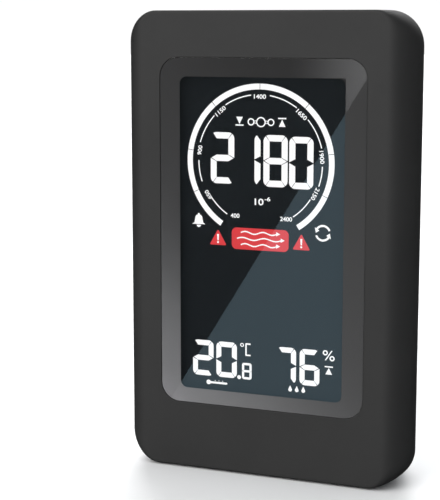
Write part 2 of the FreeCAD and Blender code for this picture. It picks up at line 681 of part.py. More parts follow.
for i in range(int(c.key_count.number)):
    x = key_pitch * i - key_row_half
    plunger_length = c.plunger_proud + c.plunger_inside
    single(f"plunger_{i + 1}", cylinder("y", x, plunger_back - plunger_length, key_z,
                                        c.plunger_radius, plunger_length))
    key = plate(f"button_{i + 1}", x - key_width / 2, x + key_width / 2, key_z - c.key_height / 2,
                key_z + c.key_height / 2, flange_front, back - c.key_below_back, c.key_corner)
    flange_half = key_width / 2 + c.key_flange
    block(key, x - flange_half, x + flange_half, key_z - c.key_height / 2 - c.key_flange,
          key_z + c.key_height / 2 + c.key_flange, flange_front, flange_back, c.key_corner)
    rounds(key, [(x, key_z)], c.key_post_radius, plunger_back, flange_front, cut=False)


def flat_cable(label, x, top, start_y):
    """A flat cable that leaves a rear board's front face, slants forward and lies on the main board."""
    made = body(label)
    outline = sketch(made, "YZ_Plane", x - c.flex_width / 2)
    start_y = as_size(start_y)
    line = [(start_y - c.flex_thickness, top), (start_y - c.flex_thickness, top - c.flex_tab),
            (board_back, top - c.flex_tab - c.flex_fall), (board_back, top - c.flex_tab * 2 - c.flex_fall)]
    polygon(outline, line + [(y + c.flex_thickness, z) for y, z in reversed(line)])
    pad(made, outline, c.flex_width, backwards=False)
    return made


ribbon_x = (c.chip_size + c.flex_width) / 2 + c.flex_chip_gap
flat_cable("control_ribbon", ribbon_x, key_board_low + c.flex_tab, key_board_front)

# ---------------------------------------------------------------- charging socket and power switch

power_x = c.power_side_space - half_case
power_left = power_x - c.power_board_width / 2
power_low = low + c.power_board_low
power_high = power_low + c.power_board_length
power_screws = [(power_x, power_low + c.power_screw_end), (power_x, power_high - c.power_screw_end)]
power_board = plate("power_board", power_left, power_left + c.power_board_width, power_low, power_high,
                    key_board_front, key_board_back)
rounds(power_board, power_screws, c.pilot_radius + c.hole_play, key_board_front, key_board_back, cut=True)
port_z = low + c.port_low_space
port_back = recess_floor
socket = plate("usb_shell", power_x - c.port_width / 2, power_x + c.port_width / 2,
               port_z - c.port_length / 2, port_z + c.port_length / 2, key_board_back, port_back,
               c.port_corner)
mouth_half = c.port_width / 2 - c.port_shell
mouth_reach = c.port_length / 2 - c.port_shell
window(socket, power_x - mouth_half, power_x + mouth_half, port_z - mouth_reach, port_z + mouth_reach,
       key_board_back + c.port_base, port_back, c.port_corner - c.port_shell)
plate("usb_tongue", power_x - c.tongue_width / 2, power_x + c.tongue_width / 2,
      port_z - c.tongue_length / 2, port_z + c.tongue_length / 2, key_board_back + c.port_base,
      port_back - c.tongue_short)
slider_z = low + c.slider_low_space
slide_back = key_board_back + c.slide_body_height
slide_body = plate("slide_switch", power_x - c.slide_body_width / 2, power_x + c.slide_body_width / 2,
                   slider_z - c.slide_body_length / 2, slider_z + c.slide_body_length / 2,
                   key_board_back, slide_back)
lever_half = c.lever_width / 2
lever_reach = lever_half + c.slider_travel / 2 + c.lever_play
window(slide_body, power_x - lever_half - c.lever_play, power_x + lever_half + c.lever_play,
       slider_z - lever_reach, slider_z + lever_reach, slide_back - c.lever_inside - c.lever_play,
       slide_back)
on_z = slider_z + c.slider_travel / 2
slider = plate("power_slider", power_x - c.slider_width / 2, power_x + c.slider_width / 2,
               on_z - c.slider_length / 2, on_z + c.slider_length / 2, inner_back,
               back - c.key_below_back)
block(slider, power_x - lever_half, power_x + lever_half, on_z - lever_half, on_z + lever_half,
      slide_back - c.lever_inside, inner_back)
flat_cable("power_ribbon", power_x, power_low + c.power_flex_rise, key_board_front)

group("board_screws",
      [screw(x, z, key_board_front, c.small_head_radius, c.small_head_height,
             c.pilot_radius - c.screw_play, c.small_screw_length, False)
       for x, z in key_screws + power_screws])

# ---------------------------------------------------------------- rear cover

cover = body("rear_cover")
cover_half = half_case - c.part_step
rear_half = half_case - c.rear_taper_side
rear_round_angles = (None, 0, 30, 60, 90)
cover_sections = []
for degrees in rear_round_angles:
    turn = math.radians(degrees or 0)
    inset = c.rear_edge_round * (1 - math.cos(turn))
    y = part_line if degrees is None else back - c.rear_edge_round * (1 - math.sin(turn))
    share = (y - part_line) / (back - part_line)
    half = cover_half - (cover_half - rear_half) * share - inset
    top = high - c.part_step - (c.rear_taper_top - c.part_step) * share - inset
    corner = c.side_corner - (c.side_corner - c.rear_corner) * share - inset
    section = sketch(cover, "XZ_Plane", y)
    rectangle(section, -half, half, low + inset, top, corner)
    cover_sections.append(section)
hull = cover.newObject("PartDesign::AdditiveLoft", "hull")
hull.Profile = cover_sections[0]
hull.Sections = [(s, [""]) for s in cover_sections[1:]]
hull.Ruled = True

lip_half = deep_half - c.lip_play
lip_low = low + c.side_wall + c.lip_play
lip_high = high - c.side_wall - c.lip_play
lip_in = c.lip_thickness
inner_wide = sketch(cover, "XZ_Plane", part_line)
rectangle(inner_wide, lip_in - lip_half, lip_half - lip_in, lip_low + lip_in, lip_high - lip_in,
          deep_corner - c.lip_play - lip_in)
inner_narrow = sketch(cover, "XZ_Plane", inner_back)
inner_rear_half = rear_half - c.side_wall
rectangle(inner_narrow, -inner_rear_half, inner_rear_half, lip_low + lip_in,
          high - c.rear_taper_top - c.side_wall, c.rear_corner - c.side_wall)
hollow = cover.newObject("PartDesign::SubtractiveLoft", "hollow")
hollow.Profile = inner_wide
hollow.Sections = [(inner_narrow, [""])]
hollow.Ruled = True
cuts.append((cover, hollow))

lip = sketch(cover, "XZ_Plane", part_line - c.lip_length)
rectangle(lip, -lip_half, lip_half, lip_low, lip_high, deep_corner - c.lip_play)
rectangle(lip, lip_in - lip_half, lip_half - lip_in, lip_low + lip_in, lip_high - lip_in,
          deep_corner - c.lip_play - lip_in)
pad(cover, lip, c.lip_length)

# columns and bosses that carry the screws and the two small boards
rounds(cover, case_screws, c.column_radius, part_line, inner_back, cut=False)
rounds(cover, key_screws + power_screws, c.board_boss_radius, key_board_back, inner_back, cut=False)

# leg recess: its backing inside, and the ears that hold the pivot pin
leg_half = half_case - c.leg_side_space
leg_back = back - c.leg_below_back
leg_front = leg_back - c.leg_thickness
leg_low = low + c.leg_low + c.leg_play
pivot_z = low + c.leg_pivot
pivot_y = leg_back - c.barrel_radius
recess_half = leg_half + c.leg_play
leg_floor = leg_front - c.leg_back_play
barrel_space = c.barrel_radius + c.barrel_play
barrel_floor = pivot_y - barrel_space
ear_half = recess_half + c.ear_width
block(cover, -recess_half - c.leg_backing, recess_half + c.leg_backing, low + c.leg_low - c.leg_backing,
      pivot_z, leg_floor - c.leg_backing, inner_back)
block(cover, -ear_half, ear_half, pivot_z - barrel_space - c.barrel_backing,
      pivot_z + barrel_space + c.barrel_backing, barrel_floor - c.barrel_backing, inner_back)
window(cover, -recess_half, recess_half, low + c.leg_low, pivot_z, leg_floor, back,
       c.leg_corner + c.leg_play)
window(cover, -recess_half, recess_half, pivot_z - barrel_space, pivot_z + barrel_space,
       barrel_floor, back)
pin_hole = sketch(cover, "YZ_Plane", ear_half)
circle(pin_hole, pivot_y, pivot_z, c.pivot_radius + c.screw_play)
pocket(cover, pin_hole, ear_half * 2)

# keyhole for a wall screw, with a closed hood behind it
keyhole_z = high - c.keyhole_top_space
hood_half = c.keyhole_entry + c.hood_space
hood_high = keyhole_z + c.keyhole_rise + c.keyhole_slot + c.hood_space
hood_low = keyhole_z - c.keyhole_entry - c.hood_space
block(cover, -hood_half - c.hood_wall, hood_half + c.hood_wall, hood_low - c.hood_wall,
      hood_high + c.hood_wall, inner_back - c.hood_depth, inner_back)
window(cover, -hood_half, hood_half, hood_low, hood_high, inner_back - c.hood_depth + c.hood_wall,
       inner_back)
rounds(cover, [(0, keyhole_z)], c.keyhole_entry, inner_back, back, cut=True)
window(cover, -c.keyhole_slot, c.keyhole_slot, keyhole_z, keyhole_z + c.keyhole_rise + c.keyhole_slot,
       inner_back, back, c.keyhole_slot - c.keyhole_slot_flat)

# key openings in their shallow recess
recess_reach = key_row_half + key_width / 2 + c.key_recess_margin
window(cover, -recess_reach, recess_reach, key_z - c.key_height / 2 - c.key_recess_margin,
       key_z + c.key_height / 2 + c.key_recess_margin, recess_floor, back, c.key_corner)
key_hole = window(cover, -key_row_half - key_width / 2 - c.key_play,
                  -key_row_half + key_width / 2 + c.key_play, key_z - c.key_height / 2 - c.key_play,
                  key_z + c.key_height / 2 + c.key_play, inner_back, back, c.key_corner + c.key_play)
repeat(cover, key_hole, "X_Axis", key_row_half * 2, c.key_count)

# openings for the charging socket and the power switch
port_space = c.port_play
window(cover, power_x - c.port_width / 2 - c.port_recess_side,
       power_x + c.port_width / 2 + c.port_recess_side, port_z - c.port_length / 2 - c.port_recess_side,
       port_z + c.port_length / 2 + c.port_recess_side, recess_floor, back, c.port_corner)
window(cover, power_x - c.port_width / 2 - port_space, power_x + c.port_width / 2 + port_space,
       port_z - c.port_length / 2 - port_space, port_z + c.port_length / 2 + port_space, inner_back,
       back, c.port_corner + port_space)
slot_half = c.slider_width / 2 + c.slider_play
slot_reach = c.slider_length / 2 + c.slider_travel / 2 + c.slider_play
window(cover, power_x - slot_half - c.slider_recess_side, power_x + slot_half + c.slider_recess_side,
       slider_z - slot_reach, slider_z + slot_reach, recess_floor, back, c.key_play)
window(cover, power_x - slot_half, power_x + slot_half, slider_z - slot_reach, slider_z + slot_reach,
       inner_back, back)

# vent fields: beside the gas sensor, its mirror, and beside the climate sensor
vent_in = ear_half + c.vent_ear_gap
vent_out = inner_rear_half - c.vent_wall_gap
vent_span = c.vent_pitch * (c.vent_count - 1)
upper_vent = high - c.vent_upper_space - vent_span - c.vent_slot
lower_vent = low + c.vent_lower_space
fields = [(-vent_out, -vent_in, upper_vent), (vent_in, vent_out, upper_vent), (vent_in, vent_out, lower_vent)]
for left, right, first in fields:
    slot = window(cover, left, right, first, first + c.vent_slot, inner_back, back)
    repeat(cover, slot, "Z_Axis", vent_span, c.vent_count)

# screw holes, their deep counterbores, and the rear feet's recesses
column_seat = part_line + c.column_seat
rounds(cover, case_screws, c.case_pilot_radius + c.hole_play, part_line, back, cut=True)
rounds(cover, case_screws, c.case_head_radius + c.counterbore_play, column_seat, back, cut=True)
rounds(cover, key_screws + power_screws, c.pilot_radius, key_board_back,
       key_board_front + c.small_screw_length, cut=True)
rear_foot_y = back - c.foot_rear
rear_feet = sketch(cover, "XY_Plane", low)
for side in (-1, 1):
    circle(rear_feet, side * foot_x, rear_foot_y, c.foot_radius + c.foot_play)
pocket(cover, rear_feet, c.foot_sunk, backwards=True)

gauzes = []
for left, right, first in fields:
    gauzes.append(box(left - c.gauze_margin, right + c.gauze_margin, inner_back - c.gauze_thickness,
                      inner_back, first - c.gauze_margin, first + vent_span + c.vent_slot + c.gauze_margin))
group("vent_gauze", gauzes)
group("case_screws",
      [screw(x, z, column_seat, c.case_head_radius, c.case_head_height,
             c.case_pilot_radius - c.screw_play, c.column_seat + c.case_screw_bite, True)
       for x, z in case_screws])

# ---------------------------------------------------------------- fold-out leg

leg = plate("stand_leg", -leg_half, leg_half, leg_low, pivot_z, leg_front, leg_back, c.leg_corner)
block(leg, -leg_half, leg_half, leg_low + c.leg_corner, pivot_z, leg_front, leg_back)
barrel = sketch(leg, "YZ_Plane", -leg_half)
circle(barrel, pivot_y, pivot_z, c.barrel_radius)
pad(leg, barrel, leg_half * 2, backwards=False)
bore = sketch(leg, "YZ_Plane", leg_half)
circle(bore, pivot_y, pivot_z, c.pivot_radius + c.pivot_play)
pocket(leg, bore, leg_half * 2)
pad_front = leg_back - c.leg_pad_thickness
leg_pad_half = leg_half - c.leg_pad_inset
pad_low = leg_low + c.leg_pad_low
pad_high = pad_low + c.leg_pad_height
window(leg, -leg_pad_half, leg_pad_half, pad_low, pad_high, pad_front, leg_back)
plate("stand_pad", -leg_pad_half, leg_pad_half, pad_low, pad_high, pad_front, leg_back)
single("stand_pin", cylinder("x", -ear_half, pivot_y, pivot_z, c.pivot_radius, ear_half * 2))

# ---------------------------------------------------------------- feet

feet = [cylinder("z", side * foot_x, y, 0, c.foot_radius, c.foot_proud + c.foot_sunk)
        for side in (-1, 1) for y in (front_foot_y, rear_foot_y)]
group("rubber_feet", feet)

# ---------------------------------------------------------------- checks and files

doc.recompute()
for thing in doc.Objects:
    if "Invalid" in thing.State or "Error" in thing.State:
        raise RuntimeError(f"{thing.Name} in {thing.Label} failed: {thing.State}")
for owner, feature in cuts:
    before = feature.BaseFeature.Shape.Volume
    if before - feature.Shape.Volume < 1e-3:
        raise RuntimeError(f"{feature.Name} in {owner.Label} cuts nothing")
for node in nodes:
    if node.Shape.isNull() or not node.Shape.isValid() or not node.Shape.Solids:
        raise RuntimeError(f"{node.Label} has no valid solid")

os.makedirs("parts", exist_ok=True)
for node in nodes:
    node.Shape.exportStep(f"parts/{node.Label}.step")
    print(f"{node.Label}: {len(node.Shape.Solids)} solid(s), {node.Shape.Volume:.1f} mm3")
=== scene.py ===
import math

import bmesh
import bpy
import numpy as np
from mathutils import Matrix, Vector


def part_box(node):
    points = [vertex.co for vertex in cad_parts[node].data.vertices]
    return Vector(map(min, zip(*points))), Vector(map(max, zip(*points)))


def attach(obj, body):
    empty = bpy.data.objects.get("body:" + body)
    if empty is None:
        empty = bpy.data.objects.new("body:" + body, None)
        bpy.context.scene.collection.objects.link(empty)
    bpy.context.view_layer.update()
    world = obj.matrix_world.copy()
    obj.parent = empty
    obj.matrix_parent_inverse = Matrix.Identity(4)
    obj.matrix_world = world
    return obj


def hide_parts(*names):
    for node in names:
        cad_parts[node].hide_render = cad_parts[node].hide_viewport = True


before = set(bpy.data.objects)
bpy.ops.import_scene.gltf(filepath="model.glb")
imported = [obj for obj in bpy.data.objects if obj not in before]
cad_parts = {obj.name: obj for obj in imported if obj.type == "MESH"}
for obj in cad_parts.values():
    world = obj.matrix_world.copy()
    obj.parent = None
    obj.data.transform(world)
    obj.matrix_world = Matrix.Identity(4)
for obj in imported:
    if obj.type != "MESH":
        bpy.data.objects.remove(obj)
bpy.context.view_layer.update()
scene = bpy.context.scene
scene.view_settings.view_transform = "Standard"

# -------- camera
# A long lens a little to the right of the monitor and above its middle, so that the front and a
# sliver of the right side show.

camera = bpy.data.objects.new("camera", bpy.data.cameras.new("camera"))
camera.data.sensor_fit = "VERTICAL"
camera.data.sensor_height = 36.0
camera.data.lens = 102.6
camera.location = (0.1554, -0.4287, 0.1445)
camera_aim = Vector((-0.0166, -0.0084, 0.0717))
camera.rotation_euler = (camera_aim - camera.location).to_track_quat("-Z", "Y").to_euler()
scene.collection.objects.link(camera)
scene.camera = camera

# -------- studio floor and light
# A pale matt table, three wide lamps, a pale room and a white backdrop. Gloss sees neither the table
# nor the room: it sees the boards that are made with the window, further down.

white = (1.0, 1.0, 1.0)
# each lamp shines along one direction; softness is its width in degrees
for name, towards, softness, strength, colour in (
        ("key_lamp", (0.42, 0.80, -0.45), 50.0, 1.5, (1.0, 0.99, 0.975)),
        ("top_lamp", (0.1, 0.15, -1.0), 60.0, 0.8, white),
        ("rear_lamp", (0.3, -0.85, -0.45), 40.0, 2.8, (0.98, 0.99, 1.0))):
    lamp = bpy.data.objects.new(name, bpy.data.lights.new(name, "SUN"))
    lamp.data.angle = math.radians(softness)
    lamp.data.energy = strength
    lamp.data.color = colour
    lamp.rotation_euler = Vector(towards).to_track_quat("-Z", "Y").to_euler()
    scene.collection.objects.link(lamp)

room = bpy.data.worlds.new("room")
room.use_nodes = True
room_light = room.node_tree.nodes["Background"].inputs
room_light["Color"].default_value = (0.93, 0.95, 0.97, 1.0)
room_light["Strength"].default_value = 0.6
scene.world = room
room.cycles_visibility.glossy = False


def shown(name, made):
    """Put a mesh in the scene as a piece of that name, at the origin."""
    piece = bpy.data.objects.new(name, made)
    scene.collection.objects.link(piece)
    return piece


def mesh_of(name, points, faces):
    """A piece from points in millimetres, an (n, 3) array, and faces, which are lists of point numbers."""
    made = bpy.data.meshes.new(name)
    made.from_pydata(np.asarray(points, float) * 0.001, [], faces)
    made.validate()
    return shown(name, made)


def paint(name, colour, roughness, **numbers):
    """A material of one Principled shader. Its plain numbers go on the shader's own sockets."""
    made = bpy.data.materials.new(name)
    made.use_nodes = True
    shader = made.node_tree.nodes["Principled BSDF"]
    shader.inputs["Base Color"].default_value = (*colour, 1.0)
    shader.inputs["Roughness"].default_value = roughness
    for socket, number in numbers.items():
        shader.inputs[socket.replace("_", " ")].default_value = number
    return made, made.node_tree, shader


def shading(tree, kind, **sockets):
    """A new shader node. Each named socket takes a plain value, or reads another node's output."""
    made = tree.nodes.new("ShaderNode" + kind)
    for name, value in sockets.items():
        socket = made.inputs[name.replace("_", " ")]
        if isinstance(value, bpy.types.NodeSocket):
            tree.links.new(value, socket)
        else:
            socket.default_value = value
    return made


def clouds(tree, scale, detail=2.0, stretch=(1.0, 1.0, 1.0)):
    """Cloud noise on Object coordinates; scale is in waves per metre, stretch turns clouds to streaks."""
    spread = shading(tree, "Mapping", Vector=shading(tree, "TexCoord").outputs["Object"], Scale=stretch)
    noise = shading(tree, "TexNoise", Vector=spread.outputs["Vector"], Scale=scale, Detail=detail)
    return noise.outputs["Fac"]


def mottle(tree, shader, factor, dark, light, low=0.35, high=0.65):
    """Base colour that drifts between two near tones as the factor goes from low to high."""
    ramp = shading(tree, "ValToRGB", Fac=factor)
    for stop, position, tone in zip(ramp.color_ramp.elements, (low, high), (dark, light)):
        stop.position = position
        stop.color = (*tone, 1.0)
    tree.links.new(ramp.outputs["Color"], shader.inputs["Base Color"])


def wear(tree, shader, factor, smooth, rough):
    """Roughness that goes from smooth to rough as the factor goes from 0.3 to 0.7."""
    span = shading(tree, "MapRange", Value=factor, From_Min=0.3, From_Max=0.7, To_Min=smooth, To_Max=rough)
    tree.links.new(span.outputs["Result"], shader.inputs["Roughness"])


def relief(tree, shader, factor, height_mm, strength=1.0):
    """Bump as deep as height_mm where the factor goes from 0 to 1."""
    bump = shading(tree, "Bump", Height=factor, Strength=strength, Distance=height_mm * 0.001)
    tree.links.new(bump.outputs["Normal"], shader.inputs["Normal"])


def bare(name):
    """A material with no shader yet, its tree, and the socket that its surface goes to."""
    made = bpy.data.materials.new(name)
    made.use_nodes = True
    nodes = made.node_tree.nodes
    nodes.remove(nodes["Principled BSDF"])
    return made, made.node_tree, nodes["Material Output"].inputs["Surface"]


def glowing(name, colour, strength):
    """A material that only gives light."""
    made, tree, surface = bare(name)
    lamp = shading(tree, "Emission", Color=(*colour, 1.0), Strength=strength)
    tree.links.new(lamp.outputs["Emission"], surface)
    return made, tree, lamp


def seen_only_by(thing, camera_ray=False, gloss=False):
    """Hide a stage piece from every kind of ray but the named ones."""
    thing.visible_camera = camera_ray
    thing.visible_glossy = gloss
    thing.visible_diffuse = False
    thing.visible_shadow = False
    thing.visible_transmission = False
    thing.visible_volume_scatter = False


def squares(count, around, ring=False):
    """The faces between count closed loops of points; with ring the last loop joins the first."""
    row = np.arange(count if ring else count - 1)[:, None]
    here = np.arange(around)[None, :]
    after = (here + 1) % around
    below = (row + 1) % count
    return np.stack([row * around + here, below * around + here, below * around + after,
                     row * around + after], axis=-1).reshape(-1, 4).tolist()


def ring_sheet(name, points, filled):
    """A sheet over rings of points, an array of (ring, point, 3), with the ring of that number filled."""
    rings, around = points.shape[:2]
    lid = np.arange(around) + filled * around
    return mesh_of(name, points.reshape(-1, 3), squares(rings, around) + [lid.tolist()])


# the backdrop is a dome
dome_radius, dome_rings = 7000.0, 20
high, turn = np.meshgrid(np.radians(np.linspace(-6, 89, dome_rings)),
                         np.linspace(0, 2 * np.pi, 64, endpoint=False), indexing="ij")
dome = dome_radius * np.stack([np.cos(high) * np.cos(turn), np.cos(high) * np.sin(turn), np.sin(high)],
                              axis=-1)
backdrop = ring_sheet("backdrop", dome, dome_rings - 1)
backdrop.data.materials.append(glowing("backdrop_cloth", white, 1.02)[0])
seen_only_by(backdrop, camera_ray=True)

# the floor is flat rings that widen by the same factor from one to the next
reach, turn = np.meshgrid(np.geomspace(50.0, 6000.0, 24), np.linspace(0, 2 * np.pi, 96, endpoint=False),
                          indexing="ij")
floor = ring_sheet("floor", np.stack([reach * np.cos(turn), reach * np.sin(turn), 0 * reach], axis=-1), 0)
floor_paint, tree, shader = paint("table_paint", (0.86, 0.86, 0.86), 0.7)
mottle(tree, shader, clouds(tree, 6.0), (0.84, 0.84, 0.845), (0.88, 0.88, 0.88))
relief(tree, shader, clouds(tree, 900.0), 0.02)
floor.data.materials.append(floor_paint)
floor.visible_glossy = False

# -------- front housing
# The moulded front half of the case in matt charcoal ABS: round side edges, a flat face with a
# recess for the window, and an open back that the rear cover's lip goes into.


def outline(left, right, low, high, corner, steps=14):
    """A rounded rectangle seen from the front: four quarter circles of one radius joined by straight
    sides, from the bottom right corner up and round. Always the same number of points."""
    turn = np.linspace(0, np.pi / 2, steps + 1)
    x, z = [], []
    centres = ((right - corner, low + corner), (right - corner, high - corner),
               (left + corner, high - corner), (left + corner, low + corner))
    for quarter, (centre_x, centre_z) in enumerate(centres):
        angle = turn + (quarter - 1) * np.pi / 2
        x.append(centre_x + corner * np.cos(angle))
        z.append(centre_z + corner * np.sin(angle))
    return np.concatenate(x), np.concatenate(z)


def loops(rows):
    """Points of a stack of outlines; each row is (left, right, low, high, corner, y)."""
    grid = []
    for left, right, low, high, corner, y in rows:
        x, z = outline(left, right, low, high, corner)
        grid.append(np.stack([x, np.full(len(x), float(y)), z], axis=1))
    return np.array(grid)


def skin(name, grid, ring=False):
    """A closed skin over a stack of loops, which run from the front middle outwards and back. With
    ring the last loop joins the first, and otherwise the first and last loops are capped."""
    count, around = grid.shape[:2]
    caps = []
    if not ring:
        caps = [list(range(around)), list(range(count * around - 1, (count - 1) * around - 1, -1))]
    piece = mesh_of(name, grid.reshape(-1, 3), squares(count, around, ring) + caps)
    piece.data.shade_smooth()
    return piece


def place(node):
    """A CAD node's box at rest in millimetres: left, right, low, high, front, back."""
    low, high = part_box(node)
    return [1000 * v for v in (low.x, high.x, low.z, high.z, low.y, high.y)]


case_half, case_low, case_high, case_front = place("front_housing")[1:5]
lens_left, lens_right, lens_low, lens_high, lens_front, lens_back = place("window_lens")
film_left, film_right, film_low, film_high, film_front, film_back = place("front_polariser")
side_round_width = 7.9
side_round_depth = 12.2
part_line = case_front + side_round_depth
face_corner = 5.1
side_corner = 10.9
face_edge_round = 0.7
lens_gap = 0.09
lens_corner = 6.2
rim_round = 0.05
recess_floor = lens_back + 0.2
aperture_grow = 0.4
aperture_corner = 2.0
inner_front = film_back
cavity_margin, cavity_corner = 5.2, 6.0
deep_margin, deep_corner, deep_start = 2.8, 8.7, case_front + 7.0
end_wall = 2.2
edge_round = 0.15
# how far from an edge the loops lie that keep the flats beside it flat under smooth shading
hold, recess_hold, face_hold = 0.3, 0.2, 0.4


def grown(box, by):
    """A box of left, right, low, high, larger by the same distance on all four sides."""
    return (box[0] - by, box[1] + by, box[2] - by, box[3] + by)


aperture = grown((film_left, film_right, film_low, film_high), aperture_grow)
lens_box = (lens_left, lens_right, lens_low, lens_high)
recess = grown(lens_box, lens_gap)
recess_corner = lens_corner + lens_gap
rows = [(*aperture, aperture_corner, recess_floor),
        (*grown(aperture, hold), aperture_corner + hold, recess_floor),
        (*grown(recess, -hold), recess_corner - hold, recess_floor),
        (*recess, recess_corner, recess_floor),
        (*recess, recess_corner, recess_floor - recess_hold)]
for turn in np.linspace(0, np.pi / 2, 5):
    out = rim_round * (1 - np.cos(turn))
    rows.append((*grown(recess, out), recess_corner + out, case_front + rim_round * (1 - np.sin(turn))))
rows.append((*grown(recess, rim_round + hold), recess_corner + rim_round + hold, case_front))

# the side rounds are quarter ellipses, of side_round_width by side_round_depth, and the top and bottom
# edges small quarter circles
for turn in (np.linspace(0, 1, 26) ** 1.25) * np.pi / 2:
    deep = side_round_depth * (1 - np.cos(turn))
    half = case_half - side_round_width * (1 - np.sin(turn))
    edge = max(face_edge_round - deep, 0.0)
    drop = face_edge_round - math.sqrt(face_edge_round ** 2 - edge ** 2)
    corner = face_corner + (side_corner - face_corner) * np.sin(turn) - drop * 0.5
    face = (-half, half, case_low + drop, case_high - drop)
    if turn == 0:
        rows.append((*grown(face, -face_hold), corner - face_hold, case_front))
    rows.append((*face, corner, case_front + deep))
case_box = (-case_half, case_half, case_low, case_high)
deep_half, cavity_half = case_half - deep_margin, case_half - cavity_margin
deep_box = (-deep_half, deep_half, case_low + end_wall, case_high - end_wall)
cavity_box = (-cavity_half, cavity_half, case_low + end_wall, case_high - end_wall)
rows += [(*grown(case_box, -edge_round), side_corner - edge_round, part_line),
         (*grown(case_box, -edge_round - hold), side_corner - edge_round - hold, part_line),
         (*deep_box, deep_corner, part_line), (*deep_box, deep_corner, deep_start),
         (*cavity_box, cavity_corner, deep_start), (*cavity_box, cavity_corner, inner_front),
         (*aperture, aperture_corner, inner_front)]
housing = skin("case_front", loops(rows), ring=True)


def charcoal(name, tone, roughness, grain_mm):
    """Matt moulded plastic: a fine spark-eroded grain, a faint drift of tone, and slight polish."""
    made, tree, shader = paint(name, (tone,) * 3, roughness, IOR=1.46)
    mottle(tree, shader, clouds(tree, 45.0, 3.0), (tone * 0.95, tone * 0.95, tone * 0.955),
           (tone * 1.05, tone * 1.05, tone * 1.045))
    wear(tree, shader, clouds(tree, 420.0, 3.0), roughness - 0.02, roughness + 0.03)
    relief(tree, shader, clouds(tree, 4200.0, 2.0), grain_mm)
    return made


case_plastic = charcoal("case_plastic", 0.023, 0.56, 0.012)
housing.data.materials.append(case_plastic)
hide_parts("front_housing")
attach(housing, "case")


def screw_post(x, z, size, bore, end, bite):
    """A round post on the inside of the face, with a blind hole, bite deep, for a screw in its free end.
    Its root is sunk in the face, and the edge of its end is cut back."""
    disc, hole = (x - size, x + size, z - size, z + size), (x - bore, x + bore, z - bore, z + bore)
    return skin("post", loops([(*disc, size, inner_front - post_sunk), (*disc, size, end - post_chamfer),
                               (*grown(disc, -post_chamfer), size - post_chamfer, end), (*hole, bore, end),
                               (*hole, bore, end - bite)]))


def joined(name, parts):
    """One mesh of several."""
    shape = bmesh.new()
    for part in parts:
        shape.from_mesh(part.data)
        bpy.data.objects.remove(part)
    made = bpy.data.meshes.new(name)
    shape.to_mesh(made)
    shape.free()
    made.set_sharp_from_angle(angle=math.radians(40))
    return shown(name, made)


post_sunk, post_chamfer = 0.1, 0.2
board_front = place("main_board")[4]
# for each kind of screw: half its head, then the post's radius, its bore, its end and the bore's depth
post_kinds = {"case_screws": (2.8, 3.4, 1.2, part_line, 7.7),
              "main_board_screws": (2.3, 2.8, 0.9, board_front, 6.0)}
posts = []
for node, (head, *post) in post_kinds.items():
    left, right, low, high = place(node)[:4]
    posts += [screw_post(x, z, *post) for x in (left + head, right - head)
              for z in (low + head, high - head)]
rib_play, rib_thick, rib_tall, rib_corner = 0.2, 1.0, 3.0, 0.3
holder = place("lcd_frame")[:4]
rib_in = (*grown(holder, rib_play), rib_corner)
rib_out = (*grown(holder, rib_play + rib_thick), rib_corner)
rib_front, rib_back = inner_front - post_sunk, inner_front + rib_tall
posts.append(skin("rib", loops([(*rib_in, rib_front), (*rib_out, rib_front), (*rib_out, rib_back),
                                (*rib_in, rib_back)]), ring=True))
inside = joined("case_posts", posts)
inside.data.materials.append(case_plastic)
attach(inside, "case")

# -------- front window
# A flush clear acrylic window, hard-coated, held on its rim by the adhesive frame. A satin grey border
# is printed under the hard coat and leaves the display open. A soft reflection is painted into its ink,
# light at the lower left and dark at the upper right.

view_window = (-27.31, 27.24, 27.11, 127.5)
view_corner = 2.3
rim_soft = 0.06
# the pane's front and back edges are quarter circles of radius rim_soft
flat = (*grown(lens_box, -rim_soft * 2), lens_corner - rim_soft * 2)
front_edge, back_edge = [], []
for turn in np.linspace(0, np.pi / 2, 5):
    inset, fall = rim_soft * (1 - np.sin(turn)), rim_soft * (1 - np.cos(turn))
    edge = (*grown(lens_box, -inset), lens_corner - inset)
    front_edge.append((*edge, lens_front + fall))
    back_edge.insert(0, (*edge, lens_back - fall))
window = skin("window_pane", loops([(*view_window, view_corner, lens_front), (*flat, lens_front),
                                    *front_edge, *back_edge, (*flat, lens_back)]))


def clear_pane(name, gloss_colour, straight, grazing, roughness=0.0):
    """Clear sheet: what is behind it, and a sharp reflection that grows from straight on to grazing with
    the fifth power of the slant. Faint smears of handling make the reflection a little softer in places."""
    made, tree, surface = bare(name)
    smears = shading(tree, "MapRange", Value=clouds(tree, 55.0, 3.0, (1, 1, 2.5)), From_Min=0.45,
                     From_Max=0.8, To_Min=roughness, To_Max=roughness + 0.03)
    clear = shading(tree, "BsdfTransparent")
    gloss = shading(tree, "BsdfGlossy", Color=(*gloss_colour, 1.0), Roughness=smears.outputs["Result"])
    steep = shading(tree, "Math")
    steep.operation = "POWER"
    steep.inputs[1].default_value = 5.0
    tree.links.new(shading(tree, "LayerWeight", Blend=0.5).outputs["Facing"], steep.inputs[0])
    share = shading(tree, "MapRange", Value=steep.outputs["Value"], To_Min=straight, To_Max=grazing)
    mix = shading(tree, "MixShader", Fac=share.outputs["Result"])
    tree.links.new(clear.outputs["BSDF"], mix.inputs[1])
    tree.links.new(gloss.outputs["BSDF"], mix.inputs[2])
    tree.links.new(mix.outputs["Shader"], surface)
    return made


for look in (("window_acrylic", white, 0.044, 0.9), ("display_coating", (0.55, 0.83, 1.0), 0.115, 0.9),
             ("window_back", white, 0.004, 0.2), ("window_edge", white, 0.03, 0.4, 0.35)):
    window.data.materials.append(clear_pane(*look))
